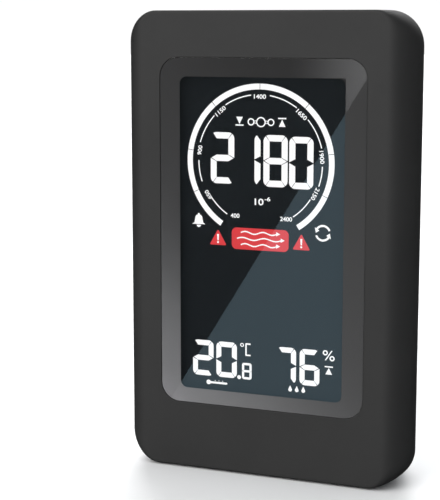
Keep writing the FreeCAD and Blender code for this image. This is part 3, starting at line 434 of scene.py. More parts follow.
# the looks in turn: the front, its middle over the display, the back, the edges; the two last faces are
# the middle and the back
faces = window.data.polygons
normals = np.zeros(len(faces) * 3)
faces.foreach_get("normal", normals)
faces.foreach_set("material_index", np.where(normals[1::3] > -0.999, 3, 0).astype(np.int32))
faces[len(faces) - 2].material_index = 1
faces[len(faces) - 1].material_index = 2
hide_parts("window_lens")
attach(window, "case")

print_front = lens_front + 0.05
print_back = lens_front + 0.09
print_inset = 0.08
opening = (*view_window, view_corner)
rim = (*grown(lens_box, -print_inset), lens_corner - print_inset)
border = skin("window_print", loops([(*opening, print_back), (*opening, print_front), (*rim, print_front),
                                     (*rim, print_back)]), ring=True)
border.data.shade_flat()
border_ink_and_painted_reflection, tree, shader = paint("border_ink_and_painted_reflection", (0.04, 0.04, 0.04), 0.4, Specular_IOR_Level=0.25)
# a painted reflection: the ink's tone falls with the way across, plus upright_share of the way up, from the
# window's lower left
upright_share, reach_end = 1.15, 200
start_x, start_z = lens_left + 6, lens_low + 0.6
centred = shading(tree, "Mapping", Vector=shading(tree, "TexCoord").outputs["Object"],
                  Scale=(1.0, 0.0, upright_share),
                  Location=(-start_x * 0.001, 0.0, -start_z * upright_share * 0.001))
reach = shading(tree, "VectorMath")
reach.operation = "DOT_PRODUCT"
reach.inputs[1].default_value = (1.0, 1.0, 1.0)
tree.links.new(centred.outputs["Vector"], reach.inputs[0])
fade = shading(tree, "MapRange", Value=reach.outputs["Value"], From_Max=reach_end * 0.001)
ramp = shading(tree, "ValToRGB", Fac=fade.outputs["Result"])
# tones of the painted reflection, from the lightest at the lower left to the darkest at the upper right
for reach_mm, tone in ((8, 0.158), (18, 0.138), (33, 0.108), (47, 0.074), (62, 0.051), (77, 0.039),
                       (100, 0.030), (123, 0.0245), (143, 0.0188), (170, 0.0145)):
    ramp.color_ramp.elements.new(reach_mm / reach_end).color = (tone, tone, tone * 1.03, 1.0)
ramp.color_ramp.elements[0].color = (0.190, 0.188, 0.196, 1.0)
ramp.color_ramp.elements[-1].color = (0.013, 0.0128, 0.013, 1.0)
tree.links.new(ramp.outputs["Color"], shader.inputs["Base Color"])
wear(tree, shader, clouds(tree, 300.0), 0.36, 0.44)
border.data.materials.append(border_ink_and_painted_reflection)
border.visible_shadow = False
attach(border, "case")

# The flags that the window mirrors: a lit board with a slanting edge, and a strip and a corner that
# brighten towards the window's top right. Only gloss sees them. mirror_eye is the camera's own mirror
# image in the window, and flag_y how far in front the flags stand.
mirror_eye = (camera.location.x * 1000, 2 * lens_front - camera.location.y * 1000, camera.location.z * 1000)
flag_y = -900.0


def mirrored(x, z):
    """The point of the flags that the camera sees in the window at x, z."""
    eye_x, eye_y, eye_z = mirror_eye
    away = (eye_y - flag_y) / (eye_y - lens_front)
    return [eye_x + (x - eye_x) * away, flag_y, eye_z + (z - eye_z) * away]


def flag(name, corners, colour, strength, fade=None):
    """A lit board with these corners in the window; with a fade it brightens from one x to another."""
    made = mesh_of(name, [mirrored(x, z) for x, z in corners], [list(range(len(corners)))])
    glow, tree, lamp = glowing(name, colour, strength)
    if fade:
        parts = shading(tree, "SeparateXYZ", Vector=shading(tree, "TexCoord").outputs["Object"])
        span = shading(tree, "MapRange", Value=parts.outputs["X"], To_Max=strength,
                       From_Min=mirrored(fade[0], 0)[0] * 0.001, From_Max=mirrored(fade[1], 0)[0] * 0.001)
        span.interpolation_type = "SMOOTHSTEP"
        tree.links.new(span.outputs["Result"], lamp.inputs["Strength"])
    made.data.materials.append(glow)
    seen_only_by(made, gloss=True)


glare_slope = 1.62
glare_x, glare_z = 4.6, 80.25


def glare_at(z):
    """Where the glare's slanting edge is, across the window, at a height."""
    return glare_x + (z - glare_z) / glare_slope


lit_low, lit_high, lit_right, strip_left = -60, 320, 260, -6
flag("lit_board", [(glare_at(lit_low), lit_low), (lit_right, lit_low), (lit_right, lit_high),
                   (glare_at(lit_high), lit_high)], white, 0.48)
edge_high, edge_right = view_window[3] + 0.1, view_window[1] + 0.1
bright_top = 140
corner_glow = ((1.0, 1.0, 1.02), 1.9, (8, 38))
flag("lit_strip", [(strip_left, edge_high), (edge_right, edge_high), (edge_right, bright_top),
                   (strip_left, bright_top)], *corner_glow)
flag("lit_corner", [(edge_right, glare_z + (edge_right - glare_x) * glare_slope),
                    (glare_at(bright_top), bright_top), (edge_right, bright_top)], *corner_glow)

# a leaning board behind the monitor, for the gloss of its rear
rear_board = mesh_of("rear_board", [(-1500, 1500, 350), (600, 1500, 350), (600, 1300, 2300),
                                    (-1500, 1300, 2300)], [[0, 1, 2, 3]])
rear_board.data.materials.append(glowing("rear_board", white, 0.9)[0])
seen_only_by(rear_board, gloss=True)

# -------- display
# A negative LCD: a dark front polariser, the glass pair, and behind it the films, the light guide and
# the lamps. Its lit figures lie on the front polariser as thin bright shapes.


def cad_finish(names, slot_paint):
    """Give a finish to CAD pieces, which keep their own shape."""
    for name in names:
        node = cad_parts[name]
        node.data.materials.clear()
        node.data.materials.append(slot_paint)


polariser, tree, shader = paint("polariser", (0.0115, 0.0143, 0.0165), 0.5, Specular_IOR_Level=0.04)
mottle(tree, shader, clouds(tree, 25.0), (0.011, 0.0138, 0.016), (0.012, 0.0148, 0.017))
cad_finish(("front_polariser", "rear_polariser"), polariser)

display_x = (lens_left + lens_right) / 2 - 0.9
display_z = (lens_low + lens_high) / 2 - 0.4
figure_front = film_front - 0.04
figure_thick = 0.03


def plates(name, shapes, middle_x, middle_z, front, back):
    """Thin plates from front to back. Each shape is a closed outline of x, z points about the middle."""
    points, faces, first = [], [], 0
    for shape in shapes:
        flat = np.asarray(shape, float)
        turned = np.roll(flat, -1, axis=0)
        if np.sum(flat[:, 0] * turned[:, 1] - turned[:, 0] * flat[:, 1]) < 0:  # clockwise
            flat = flat[::-1]
        count = len(flat)
        for y in (front, back):
            points.append(np.stack([flat[:, 0] + middle_x, np.full(count, y), flat[:, 1] + middle_z],
                                   axis=1))
        here = first + np.arange(count)
        after = first + (np.arange(count) + 1) % count
        faces += [here.tolist(), (here[::-1] + count).tolist()]
        faces += np.stack([here, here + count, after + count, after], axis=1).tolist()
        first += 2 * count
    return mesh_of(name, np.concatenate(points), faces)


def printed(name, shapes, colour=white, strength=1.1, front=figure_front):
    """Lit plates on the display, white unless said otherwise."""
    light_up(plates(name, shapes, display_x, display_z, front, front + figure_thick), colour, strength)


def light_up(piece, colour, strength):
    """Lit display ink: its own light, a little uneven as a backlight is."""
    ink, tree, shader = paint(piece.name, [0.02 * tone for tone in colour], 0.5)
    shader.inputs["Emission Color"].default_value = (*colour, 1.0)
    span = shading(tree, "MapRange", Value=clouds(tree, 40.0), To_Min=strength * 0.96,
                   To_Max=strength * 1.04)
    tree.links.new(span.outputs["Result"], shader.inputs["Emission Strength"])
    piece.data.materials.append(ink)
    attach(piece, "case")


def arc(x, z, size, start, end, steps=24):
    """Points of an arc of a circle from one angle to another, in degrees from straight right."""
    angle = np.radians(np.linspace(start, end, steps))
    return np.stack([x + size * np.cos(angle), z + size * np.sin(angle)], axis=1)


def band(x, z, inner, outer, start, end, steps=24):
    """A stretch of a flat ring."""
    return np.concatenate([arc(x, z, outer, start, end, steps), arc(x, z, inner, end, start, steps)])


def whole_ring(x, z, inner, outer):
    """A flat ring, as two halves."""
    return [band(x, z, inner, outer, 0, 180), band(x, z, inner, outer, 180, 360)]


def bar(x, z, half_wide, half_tall):
    """An upright rectangle."""
    return [(x - half_wide, z - half_tall), (x + half_wide, z - half_tall),
            (x + half_wide, z + half_tall), (x - half_wide, z + half_tall)]


# the round gauge: a broad ring in eight stretches, thin arcs, and its plain numbers
ring_x, ring_z, ring_inner, ring_outer = -0.28, 23.6, 22.7, 24.5
ring_marks = [-57.5, -24.5, 8.0, 49.0, 90.0, 131.0, 172.0, 204.5, 237.5]
half_gap = 0.2
gauge = [band(ring_x, ring_z, ring_inner, ring_outer, start + half_gap, end - half_gap, 40)
         for start, end in zip(ring_marks[:-1], ring_marks[1:])]
half_line = 0.18
for start, end, size in ((98, 123, 21.1), (137, 164, 20.9), (180, 199, 20.6), (216, 237, 20.0),
                         (55, 81, 21.1), (14, 41, 20.9), (-19, -1.5, 20.6), (-56, -33, 20.0)):
    gauge.append(band(ring_x, ring_z, size - half_line, size + half_line, start, end))
printed("gauge_ring", gauge)


def numeral(text, x, z, height, width, turn=0):
    """A number as flat letters, upright at turn 0: points and faces about the display's middle."""
    letters = bpy.data.curves.new(text, "FONT")
    letters.body = text
    letters.offset = 0.02
    letters.extrude = figure_thick / 2
    drawn = bpy.data.objects.new(text, letters)
    shape = bpy.data.meshes.new_from_object(drawn)
    points = np.zeros(len(shape.vertices) * 3)
    shape.vertices.foreach_get("co", points)
    points = points.reshape(-1, 3)
    faces = [list(p.vertices) for p in shape.polygons]
    bpy.data.objects.remove(drawn)
    bpy.data.meshes.remove(shape)
    low, high = points.min(axis=0), points.max(axis=0)
    points -= (low + high) / 2
    up, across = height / (high[1] - low[1]), width / (high[0] - low[0])
    angle = math.radians(turn)
    flat_x, flat_z = points[:, 0] * across, points[:, 1] * up
    return np.stack([display_x + x + flat_x * math.cos(angle) - flat_z * math.sin(angle),
                     figure_front + figure_thick / 2 - points[:, 2],
                     display_z + z + flat_x * math.sin(angle) + flat_z * math.cos(angle)], axis=1), faces


numbers = [("400", -8.5, 6.45, 1.4, 3.0), ("2400", 8.6, 6.2, 1.4, 4.0), ("10", -0.4, 11.2, 2.1, 3.0),
           ("-6", 2.4, 12.2, 1.35, 1.9)]
number_reach = 20.5
for number, angle in ((650, 212), (900, 171), (1150, 130), (1400, 90), (1650, 48), (1900, 6.5),
                      (2150, -26.4)):
    along = math.radians(angle)
    numbers.append((str(number), ring_x + number_reach * math.cos(along),
                    ring_z + number_reach * math.sin(along), 1.4, 4.0 if number > 999 else 3.0, angle - 90))
points, faces, first = [], [], 0
for row in numbers:
    number_points, number_faces = numeral(*row)
    points.append(number_points)
    faces += [[first + v for v in face] for face in number_faces]
    first += len(number_points)
light_up(mesh_of("gauge_numbers", np.concatenate(points), faces), white, 1.1)

# seven-part figures: each lit part is a bar with slanting ends, and the outer corners are round
lit_parts = {"0": "abcdef", "1": "ef", "2": "abdeg", "6": "acdefg", "7": "abc", "8": "abcdefg"}


def figure(digit, left, right, low, high, stroke, gap=0.14):
    """The lit bars of one figure: a top, d bottom, f and e left, b and c right, g middle."""
    size = stroke * 0.9
    middle = (low + high) / 2
    split = 125  # the angle at which a round corner passes from the side bar to the end bar
    in_left, in_right, in_high = left + stroke, right - stroke, high - stroke
    side = np.concatenate([[[left, middle + gap]],
                           arc(left + size, high - size, size, 180, split, 8) - [0, gap],
                           [[in_left, in_high - gap * 0.4], [in_left, middle + stroke / 2 + gap]]])
    end = np.concatenate([arc(left + size, high - size, size, split, 90, 6) + [gap, 0],
                          arc(right - size, high - size, size, 90, 180 - split, 6) - [gap, 0],
                          [[in_right - gap * 0.4, in_high], [in_left + gap * 0.4, in_high]]])
    across_bar = np.array([[left + gap * 2, middle], [in_left, middle - stroke / 2],
                           [in_right, middle - stroke / 2], [right - gap * 2, middle],
                           [in_right, middle + stroke / 2], [in_left, middle + stroke / 2]])
    mirror_x, mirror_z = np.array([-1, 1]), np.array([1, -1])
    over, under = np.array([left + right, 0]), np.array([0, low + high])
    parts = {"a": end, "d": end * mirror_z + under, "f": side, "e": side * mirror_z + under,
             "b": side * mirror_x + over, "c": side * mirror_x * mirror_z + over + under, "g": across_bar}
    return [parts[letter] for letter in lit_parts[digit]]


reading = []
for digit, left, right, low in (("2", -16.8, -8.8, 16.5), ("1", -2.0, 6.0, 16.3), ("8", 1.0, 9.0, 16.1),
                                ("0", 9.5, 17.4, 15.8)):
    reading += figure(digit, left, right, low, low + 16.2, 2.0)
printed("gas_reading", reading)

climate = []
for digit, left, right in (("2", -23.1, -15.9), ("0", -14.9, -7.8), ("7", 5.8, 12.3), ("6", 13.5, 20.1)):
    climate += figure(digit, left, right, -46.4, -34.7, 1.7)
climate += figure("8", -6.0, -2.7, -46.4, -41.0, 0.75, 0.05)
climate.append(arc(-7.0, -45.9, 0.65, 0, 345, 24))
climate += whole_ring(-6.0, -35.2, 0.35, 0.65)
# the scale's letter: a square hook of one stroke, with its two outer corners cut
left, right, low, high, stroke, clip = -4.9, -3.1, -38.7, -34.5, 0.5, 0.2
climate.append([(left, low + clip), (left + clip, low), (right, low), (right, low + stroke),
                (left + stroke, low + stroke), (left + stroke, high - stroke), (right, high - stroke),
                (right, high), (left + clip, high), (left, high - clip)])
climate += whole_ring(21.95, -35.3, 0.42, 0.85) + whole_ring(24.2, -37.0, 0.42, 0.85)
climate.append([(21.8, -37.7), (22.25, -37.7), (24.35, -34.5), (23.9, -34.5)])
printed("climate_reading", climate)

# signs: least and most marks, a gas molecule, an alarm bell, a looping pair of arrows, a lying
# thermometer and drops
signs = []


def most_mark(x, z, half, tall, turned):
    """A bar with a solid arrow head against it, upright or turned over."""
    way = -1 if turned else 1
    foot = z - way * tall / 2
    return [bar(x, z + way * (tall / 2 - 0.21), half, 0.21),
            [(x, z + way * (tall / 2 - 0.55)), (x + half * 0.82, foot), (x - half * 0.82, foot)]]


signs += most_mark(-7.05, 36.3, 1.35, 2.8, True)
signs += most_mark(7.1, 36.3, 1.35, 2.8, False)
signs += most_mark(23.15, -40.85, 1.35, 2.7, False)
for x, size in ((-3.2, 1.15), (0.1, 1.6), (3.4, 1.15)):
    signs += whole_ring(x, 36.2, size - 0.4, size)
for x in (-1.78, 1.98):
    signs += [bar(x, z, 0.3, 0.12) for z in (35.85, 36.55)]
bell_x, bell_z = -20.95, 3.1
signs.append(np.concatenate([arc(bell_x, bell_z + 1.9, 1.25, 0, 180, 20),
                             [(bell_x - 1.55, bell_z + 0.5), (bell_x - 2.3, bell_z), (bell_x + 2.3, bell_z),
                              (bell_x + 1.55, bell_z + 0.5)]]))
signs.append(arc(bell_x, bell_z + 3.25, 0.34, 0, 345, 16))
signs.append(arc(bell_x, bell_z - 0.22, 0.75, 180, 360, 12))
loop_x, loop_z = 20.7, 2.45
for start in (20, 200):
    signs.append(band(loop_x, loop_z, 1.95, 2.6, start, start + 128))
    arrow = [(2.28, start + 160), (3.15, start + 126), (1.35, start + 126)]
    signs.append([(loop_x + far * math.cos(math.radians(turn)), loop_z + far * math.sin(math.radians(turn)))
                  for far, turn in arrow])
tube_x, tube_z = -17.6, -48.5
signs.append(np.concatenate([arc(tube_x, tube_z, 0.78, 25, 335, 24),
                             arc(tube_x + 6.2, tube_z, 0.33, -90, 90, 10)]))
signs += [bar(tube_x + 2.3 + 1.3 * step, tube_z + 0.675, 0.1, 0.175) for step in range(3)]
for x in (10.4, 12.6, 14.8):
    signs.append(np.concatenate([arc(x, -48.3, 0.62, 150, 390, 20), [(x, -46.9)]]))
printed("display_signs", signs)

# the red field that tells of bad air, with three flows of air drawn on it, and a sign at each side
red_fields = [np.stack(outline(-9.6, 9.5, -4.2, 2.7, 1.6, 8), axis=1)]
warn_places = (-14.3, 13.7)
for x in warn_places:
    red_fields.append(np.concatenate([arc(x, 1.25, 0.3, 150, 30, 6), arc(x + 2.4, -2.95, 0.3, 30, -90, 6),
                                      arc(x - 2.4, -2.95, 0.3, 270, 150, 6)]))
printed("alert_fields", red_fields, (0.76, 0.042, 0.05), 1.0)
air = []
for z, start, end in ((1.2, -6.5, 5.5), (-0.75, -7.8, 7.0), (-2.7, -6.5, 5.5)):
    run = np.linspace(start, end, 40)
    wave = z + 0.38 * np.sin((run - start) / (end - start) * 4 * np.pi)
    over, under = np.stack([run, wave + 0.21], axis=1), np.stack([run, wave - 0.21], axis=1)
    air.append(np.concatenate([over, under[::-1]]))
    air.append([(end - 0.1, z + 0.75), (end + 1.25, z + 0.1), (end - 0.1, z - 0.6)])
for x in warn_places:
    air.append([(x - 0.34, 0.25), (x + 0.34, 0.25), (x + 0.2, -1.75), (x - 0.2, -1.75)])
    air.append(arc(x, -2.35, 0.33, 0, 345, 14))
printed("alert_signs", air, front=figure_front - 0.04)

# -------- glass and back light of the display
# Two thin glasses with the liquid between them, then a diffuser, a moulded clear light guide and a white
# reflector in a white plastic frame. Six lamps on a narrow board light the guide from its lower edge.


def dimples(tree, scale):
    """Cell noise on Object coordinates, in cells per metre: 0 at a cell's middle, and growing outwards."""
    place = shading(tree, "TexCoord").outputs["Object"]
    return shading(tree, "TexVoronoi", Vector=place, Scale=scale).outputs["Distance"]


def stripes(tree, axis, pitch_mm):
    """A wave from 0 to 1 along one axis of Object coordinates that repeats every pitch_mm."""
    place = shading(tree, "TexCoord").outputs["Object"]
    wave = shading(tree, "TexWave", Vector=place, Scale=2 * np.pi / (20 * pitch_mm * 0.001))
    wave.bands_direction = axis
    return wave.outputs["Fac"]


def finished(name, colour, roughness, drift=0.06, patch=80.0, spread=0.05, grain=1500.0, depth_mm=0.01,
             stretch=(1, 1, 1), **numbers):
    """A paint whose tone drifts by a share of itself, whose roughness spreads, and that has a fine grain."""
    made, tree, shader = paint(name, colour, roughness, **numbers)
    dark = [tone * (1 - drift) for tone in colour]
    light = [min(tone * (1 + drift), 1.0) for tone in colour]
    mottle(tree, shader, clouds(tree, patch, 3.0, stretch), dark, light)
    wear(tree, shader, clouds(tree, patch * 4, 2.0, stretch), max(roughness - spread, 0.02),
         roughness + spread)
    relief(tree, shader, clouds(tree, grain, 2.0, stretch), depth_mm)
    return made


cad_finish(("lcd_front_glass", "lcd_rear_glass"),
           finished("lcd_glass", (0.12, 0.13, 0.14), 0.05, 0.04, 30.0, 0.02, 300.0, 0.001,
                    IOR=1.52, Transmission_Weight=0.5))
cad_finish(("diffuser_film", "reflector_film"),
           finished("white_film", (0.86, 0.86, 0.86), 0.42, 0.02, 40.0, 0.05, 3000.0, 0.004))
cad_finish(("led_strip",),
           finished("white_board", (0.80, 0.80, 0.78), 0.32, 0.04, 200.0, 0.06, 900.0, 0.01))
white_plastic = finished("white_plastic", (0.78, 0.78, 0.76), 0.5, 0.03, 60.0, 0.05, 2600.0, 0.01)
cad_finish(("lcd_frame",), white_plastic)
cad_finish(("lens_tape",),
           finished("black_tape", (0.012, 0.012, 0.0125), 0.7, 0.2, 120.0, 0.1, 1800.0, 0.03))

# the guide is clear with a field of moulded dots that throws the light forward
guide, tree, shader = paint("guide_acrylic", (0.82, 0.85, 0.87), 0.08, IOR=1.49, Transmission_Weight=0.6)
mottle(tree, shader, clouds(tree, 30.0), (0.80, 0.83, 0.855), (0.84, 0.87, 0.885))
wear(tree, shader, clouds(tree, 200.0), 0.05, 0.12)
relief(tree, shader, dimples(tree, 900.0), 0.05)
cad_finish(("light_guide",), guide)

# yellow phosphor in the lamps' resin
lamps, tree, shader = paint("led_resin", (0.9, 0.8, 0.35), 0.25, Coat_Weight=0.5, Coat_Roughness=0.1)
mottle(tree, shader, clouds(tree, 1200.0), (0.85, 0.66, 0.16), (0.92, 0.88, 0.6))
relief(tree, shader, clouds(tree, 2500.0), 0.02)
cad_finish(("backlight_leds",), lamps)

# black carbon layers in silicone rubber carry the glass's contacts to the board
zebra, tree, shader = paint("zebra_rubber", (0.25, 0.25, 0.26), 0.6)
mottle(tree, shader, stripes(tree, "X", 0.36), (0.02, 0.02, 0.02), (0.45, 0.45, 0.47), 0.45, 0.55)
wear(tree, shader, clouds(tree, 500.0), 0.52, 0.68)
relief(tree, shader, stripes(tree, "X", 0.36), 0.01)
cad_finish(("zebra_strip",), zebra)

# -------- main board
# A glass epoxy board behind the display, under green solder mask, screwed to the front housing. It
# carries the controller chip and the buzzer.

# copper tracks under the mask: stripes upright in some regions of the board and level in the others
board_green, tree, shader = paint("board_green", (0.01, 0.08, 0.036), 0.3, IOR=1.5)
region = shading(tree, "MapRange", Value=clouds(tree, 110.0, 0.0), From_Min=0.49, From_Max=0.51)
upright = shading(tree, "Mix", Factor=region.outputs["Result"], A=stripes(tree, "X", 0.9),
                  B=stripes(tree, "Z", 0.9))
mottle(tree, shader, upright.outputs["Result"], (0.010, 0.075, 0.034), (0.020, 0.135, 0.060), 0.72, 0.8)
wear(tree, shader, clouds(tree, 200.0), 0.24, 0.38)
relief(tree, shader, upright.outputs["Result"], 0.035, 0.5)
cad_finish(("main_board", "co2_board", "climate_board", "control_board", "power_board", "battery_circuit"),
           board_green)

cad_finish(("microcontroller", "buzzer", "climate_sensor", "usb_tongue"),
           finished("chip_black", (0.02, 0.02, 0.021), 0.55, 0.15, 250.0, 0.08, 6000.0, 0.01))

cad_finish(("main_board_screws", "board_screws", "case_screws", "stand_pin"),
           finished("screw_steel", (0.42, 0.43, 0.44), 0.34, 0.06, 300.0, 0.04, 2500.0, 0.0015,
                    Metallic=1.0))

# -------- gas sensor
# An infrared cell: a gold-plated chamber with a lamp at one end and a detector can at the other, on its
# own board. Air gets in through the felt filter on the chamber.

cad_finish(("co2_chamber",),
           finished("gold_plate", (0.83, 0.60, 0.24), 0.3, 0.03, 120.0, 0.03, 1400.0, 0.003, Metallic=1.0))
cad_finish(("co2_detector", "usb_shell", "slide_switch"),
           finished("can_steel", (0.62, 0.63, 0.64), 0.28, 0.03, 120.0, 0.03, 1500.0, 0.0008, (1, 1, 4),
                    Metallic=1.0))
cad_finish(("co2_pins", "climate_pins"),
           finished("pin_brass", (0.80, 0.62, 0.30), 0.3, 0.05, 300.0, 0.04, 2500.0, 0.0015, Metallic=1.0))
cad_finish(("co2_lamp",), finished("lamp_glass", (0.85, 0.87, 0.88), 0.06, 0.03, 300.0, 0.03, 900.0, 0.004,
                                   IOR=1.5, Transmission_Weight=0.7))
cad_finish(("co2_filter",), finished("filter_felt", (0.82, 0.82, 0.80), 0.9, 0.12, 900.0, 0.06, 2600.0, 0.12,
                                     (1, 3, 1), Sheen_Weight=0.3))

# -------- battery
# A flat lithium pouch cell held on the housing by foam tape, with a small protection board, and two
# wires to a plug on the main board.

cad_finish(("battery_tape",),
           finished("foam_tape", (0.70, 0.70, 0.68), 0.85, 0.08, 500.0, 0.06, 2400.0, 0.08))
cad_finish(("battery_cell",),
           finished("cell_foil", (0.60, 0.61, 0.63), 0.36, 0.02, 90.0, 0.03, 300.0, 0.025, Metallic=0.9))
cad_finish(("battery_plug",), white_plastic)
cad_finish(("battery_lead",),
           finished("wire_cover", (0.50, 0.03, 0.03), 0.45, 0.12, 300.0, 0.06, 2000.0, 0.01,
                    Coat_Weight=0.1))

# -------- rear cover
# The moulded rear half of the case, in a slightly darker charcoal with a coarser grain: vents at both
# sides, a wall keyhole, recesses for the keys and the leg, and four screw pits.


def softened(name, node, width_mm, slot_paint, body, drop=None):
    """A copy of a CAD piece: doubles merged, flat faces joined, and every edge sharper than 40 degrees
    cut back by width_mm and rounded. drop moves its rearmost face forward by so many millimetres."""
    shape = bmesh.new()
    shape.from_mesh(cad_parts[node].data)
    bmesh.ops.remove_doubles(shape, verts=shape.verts, dist=2e-6)
    bmesh.ops.dissolve_limit(shape, angle_limit=math.radians(0.6), verts=shape.verts, edges=shape.edges)
    if drop:
        rear = max(v.co.y for v in shape.verts)
        for v in shape.verts:
            if v.co.y > rear - 1e-5:
                v.co.y -= drop * 0.001
    made = bpy.data.meshes.new(name)
    shape.to_mesh(made)
    shape.free()
    made.shade_smooth()
    made.set_sharp_from_angle(angle=math.radians(35))
    piece = shown(name, made)
    bevel = piece.modifiers.new("edge_round", "BEVEL")
    bevel.limit_method = "ANGLE"
    bevel.angle_limit = math.radians(40)
    bevel.width = width_mm * 0.001
    bevel.segments = 2
    bevel.harden_normals = True
    bevel.use_clamp_overlap = True
    made.materials.append(slot_paint)
    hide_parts(node)
    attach(piece, body)
    return piece


cover_plastic = charcoal("cover_plastic", 0.021, 0.58, 0.02)
softened("case_rear", "rear_cover", 0.2, cover_plastic, "case")

# -------- vent gauze
# Woven black nylon glued behind the vent slots, so that air gets in and dust doesn't.

gauze, tree, shader = paint("gauze_cloth", (0.03, 0.03, 0.03), 0.8, Sheen_Weight=0.2)
weave = shading(tree, "Math")
weave.operation = "MULTIPLY"
tree.links.new(stripes(tree, "X", 0.5), weave.inputs[0])
tree.links.new(stripes(tree, "Z", 0.5), weave.inputs[1])
mottle(tree, shader, weave.outputs["Value"], (0.008, 0.008, 0.008), (0.055, 0.055, 0.056), 0.1, 0.6)
wear(tree, shader, clouds(tree, 600.0), 0.72, 0.88)
relief(tree, shader, weave.outputs["Value"], 0.15)
cad_finish(("vent_gauze",), gauze)

# -------- rear keys
# Five keys in a row: moulded caps with a crowned face, held by their flanges behind the rear cover, and
# pressing the plungers of the switches on the control board. Each has a plain printed sign.

cad_finish(("key_switches",),
           finished("switch_plastic", (0.05, 0.05, 0.05), 0.5, 0.1, 300.0, 0.06, 3000.0, 0.01))
cad_finish([f"plunger_{number}" for number in range(1, 6)],
           finished("plunger_plastic", (0.25, 0.24, 0.22), 0.42, 0.08, 600.0, 0.06, 3500.0, 0.01))
cad_finish(("control_ribbon", "power_ribbon"),
           finished("flat_cable", (0.75, 0.76, 0.78), 0.3, 0.05, 250.0, 0.06, 900.0, 0.01, Coat_Weight=0.2))

key_plastic = charcoal("key_plastic", 0.030, 0.46, 0.008)
cap_corner, cap_flange, flange_thick, post_long, post_radius = 2.4, 0.8, 1.1, 0.9, 1.6
cap_crown, crown_reach, cap_lip, post_edge = 0.5, 2.5, 0.12, 0.15


def key_cap(number):
    """One key's cap, from its post back to its crown, which turns down towards the rim with a cube.
    Gives the cap's middle and its back."""
    left, right, low, high, front, back = place(f"button_{number}")
    cap = (left + cap_flange, right - cap_flange, low + cap_flange, high - cap_flange)
    middle_x, middle_z = (left + right) / 2, (low + high) / 2
    post = (middle_x - post_radius, middle_x + post_radius, middle_z - post_radius, middle_z + post_radius)
    flange_front = front + post_long
    flange_back = flange_front + flange_thick
    rows = [(*grown(post, -post_edge), post_radius - post_edge, front),
            (*post, post_radius, front + post_edge), (*post, post_radius, flange_front),
            (left, right, low, high, cap_corner + cap_flange, flange_front),
            (left, right, low, high, cap_corner + cap_flange, flange_back),
            (*cap, cap_corner, flange_back), (*cap, cap_corner, back - cap_crown - cap_lip)]
    for inset in (0.03, 0.1, 0.22, 0.4, 0.65, 0.95, 1.3, 1.7, 2.1, 2.3):
        rows.append((*grown(cap, -inset), cap_corner - inset,
                     back - cap_crown * (1 - inset / crown_reach) ** 3))
    piece = skin(f"key_cap_{number}", loops(rows))
    piece.data.set_sharp_from_angle(angle=math.radians(50))
    piece.data.materials.append(key_plastic)
    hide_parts(f"button_{number}")
    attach(piece, f"key_{number}")
    return middle_x, middle_z, back


sign_ink = finished("sign_ink", (0.60, 0.60, 0.60), 0.5, 0.05, 400.0, 0.06, 3000.0, 0.004)
sign_size, sign_sunk = 1.5, 0.2
key_signs = (whole_ring(0, 0, 0.45, 0.75), [[(-0.8, 0.45), (0.8, 0.45), (0.0, -0.75)]],
             [bar(0, z, 0.75, 0.15) for z in (-0.6, 0, 0.6)], [[(-0.8, -0.45), (0.8, -0.45), (0.0, 0.75)]],
             [band(0, 0, 0.5, 0.78, 110, 290), band(0, 0, 0.5, 0.78, 290, 430), bar(0, 0.625, 0.14, 0.325)])
for number, shapes in enumerate(key_signs, 1):
    key_x, key_z, key_back = key_cap(number)
    piece = plates(f"key_sign_{number}", [sign_size * np.asarray(shape, float) for shape in shapes],
                   key_x, key_z, key_back - sign_sunk, key_back)
    piece.data.materials.append(sign_ink)
    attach(piece, f"key_{number}")

# -------- power switch
# The slider of the power switch: a small moulded knob with five ridges for a fingernail, in a shallow
# pit beside the charging socket.

softened("slider_knob", "power_slider", 0.12, key_plastic, "slider", 0.35)
knob_left, knob_right, knob_low, knob_high, _, knob_back = place("power_slider")
knob_x, knob_z = (knob_left + knob_right) / 2, (knob_low + knob_high) / 2


def outward(piece):
    """Turn every face of a closed mesh outwards."""
    shape = bmesh.new()
    shape.from_mesh(piece.data)
    bmesh.ops.recalc_face_normals(shape, faces=shape.faces)
    shape.to_mesh(piece.data)
    shape.free()
    return piece


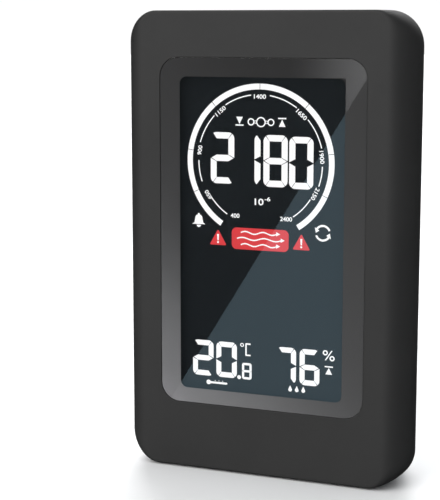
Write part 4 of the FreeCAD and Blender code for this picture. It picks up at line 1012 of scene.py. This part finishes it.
# a ridge is a bar of four sides: a wide foot sunk in the knob, and a narrow top
ridge_half, ridge_pitch, ridge_top, ridge_foot, top_sunk, foot_sunk = 1.35, 0.72, 0.1, 0.24, 0.02, 0.45
ridge_points, ridge_faces = [], []
for step in range(5):
    ridge_z = knob_z + ridge_pitch * (step - 2)
    run = np.array([-ridge_foot, -ridge_top, ridge_top, ridge_foot])
    tall = knob_back - np.array([foot_sunk, top_sunk, top_sunk, foot_sunk])
    first = len(ridge_points) * 4
    for x in (knob_x - ridge_half, knob_x + ridge_half):
        ridge_points.append(np.stack([np.full(4, x), tall, ridge_z + run], axis=1))
    ridge_faces += [[first, first + 1, first + 2, first + 3], [first + 7, first + 6, first + 5, first + 4]]
    ridge_faces += [[first + k, first + 4 + k, first + 4 + (k + 1) % 4, first + (k + 1) % 4]
                    for k in range(4)]
ridges = outward(mesh_of("slider_ridges", np.concatenate(ridge_points), ridge_faces))
ridges.data.materials.append(key_plastic)
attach(ridges, "slider")

# a bar for on and a ring for off, printed on the floor of the pit beside the knob
pit_deep = 1.2
pit_floor = place("rear_cover")[5] - pit_deep
mark_x, mark_on, mark_off = knob_left - 1.2, 0.9, -2.9
marks = plates("switch_marks", [bar(0, mark_on, 0.12, 0.6), *whole_ring(0, mark_off, 0.32, 0.55)],
               mark_x, knob_z, pit_floor - 0.05, pit_floor + 0.03)
marks.data.materials.append(sign_ink)
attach(marks, "case")

# -------- folding leg, its pad, and the feet
# A moulded leg that folds flat into the cover and turns on a steel pin, with a ribbed rubber pad at its
# end, and four glued rubber feet under the case.

softened("rear_leg", "stand_leg", 0.35, cover_plastic, "leg")
foot_rubber = finished("foot_rubber", (0.02, 0.02, 0.02), 0.78, 0.2, 250.0, 0.08, 2200.0, 0.03)
softened("foot_discs", "rubber_feet", 0.25, foot_rubber, "case")

pad_left, pad_right, pad_low, pad_high, pad_front, pad_back = place("stand_pad")
rib_pitch, rib_deep, rib_sunk, pad_round = 1.35, 0.28, 0.02, 0.2
along = np.linspace(pad_left, pad_right, 241)
wave = 0.5 - 0.5 * np.cos(2 * np.pi * (along - pad_left) / rib_pitch)
top = pad_back - rib_sunk - rib_deep * (1 - wave)
turn = np.linspace(0, np.pi / 2, 4)
fall, inset = pad_round * (1 - np.cos(turn)), pad_round * (1 - np.sin(turn))
across = np.concatenate([[pad_low], (pad_low + inset)[::-1], (pad_high - inset), [pad_high]])
down = np.concatenate([fall[::-1], fall])
ribs = np.zeros((len(along), len(across), 3))
ribs[:, :, 0] = along[:, None]
ribs[:, :, 2] = across[None, :]
ribs[:, :, 1] = pad_front
ribs[:, 1:-1, 1] = top[:, None] - down[None, :]
pad = outward(skin("leg_pad", ribs))
pad.data.set_sharp_from_angle(angle=math.radians(50))
pad.data.materials.append(foot_rubber)
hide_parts("stand_pad")
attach(pad, "leg")
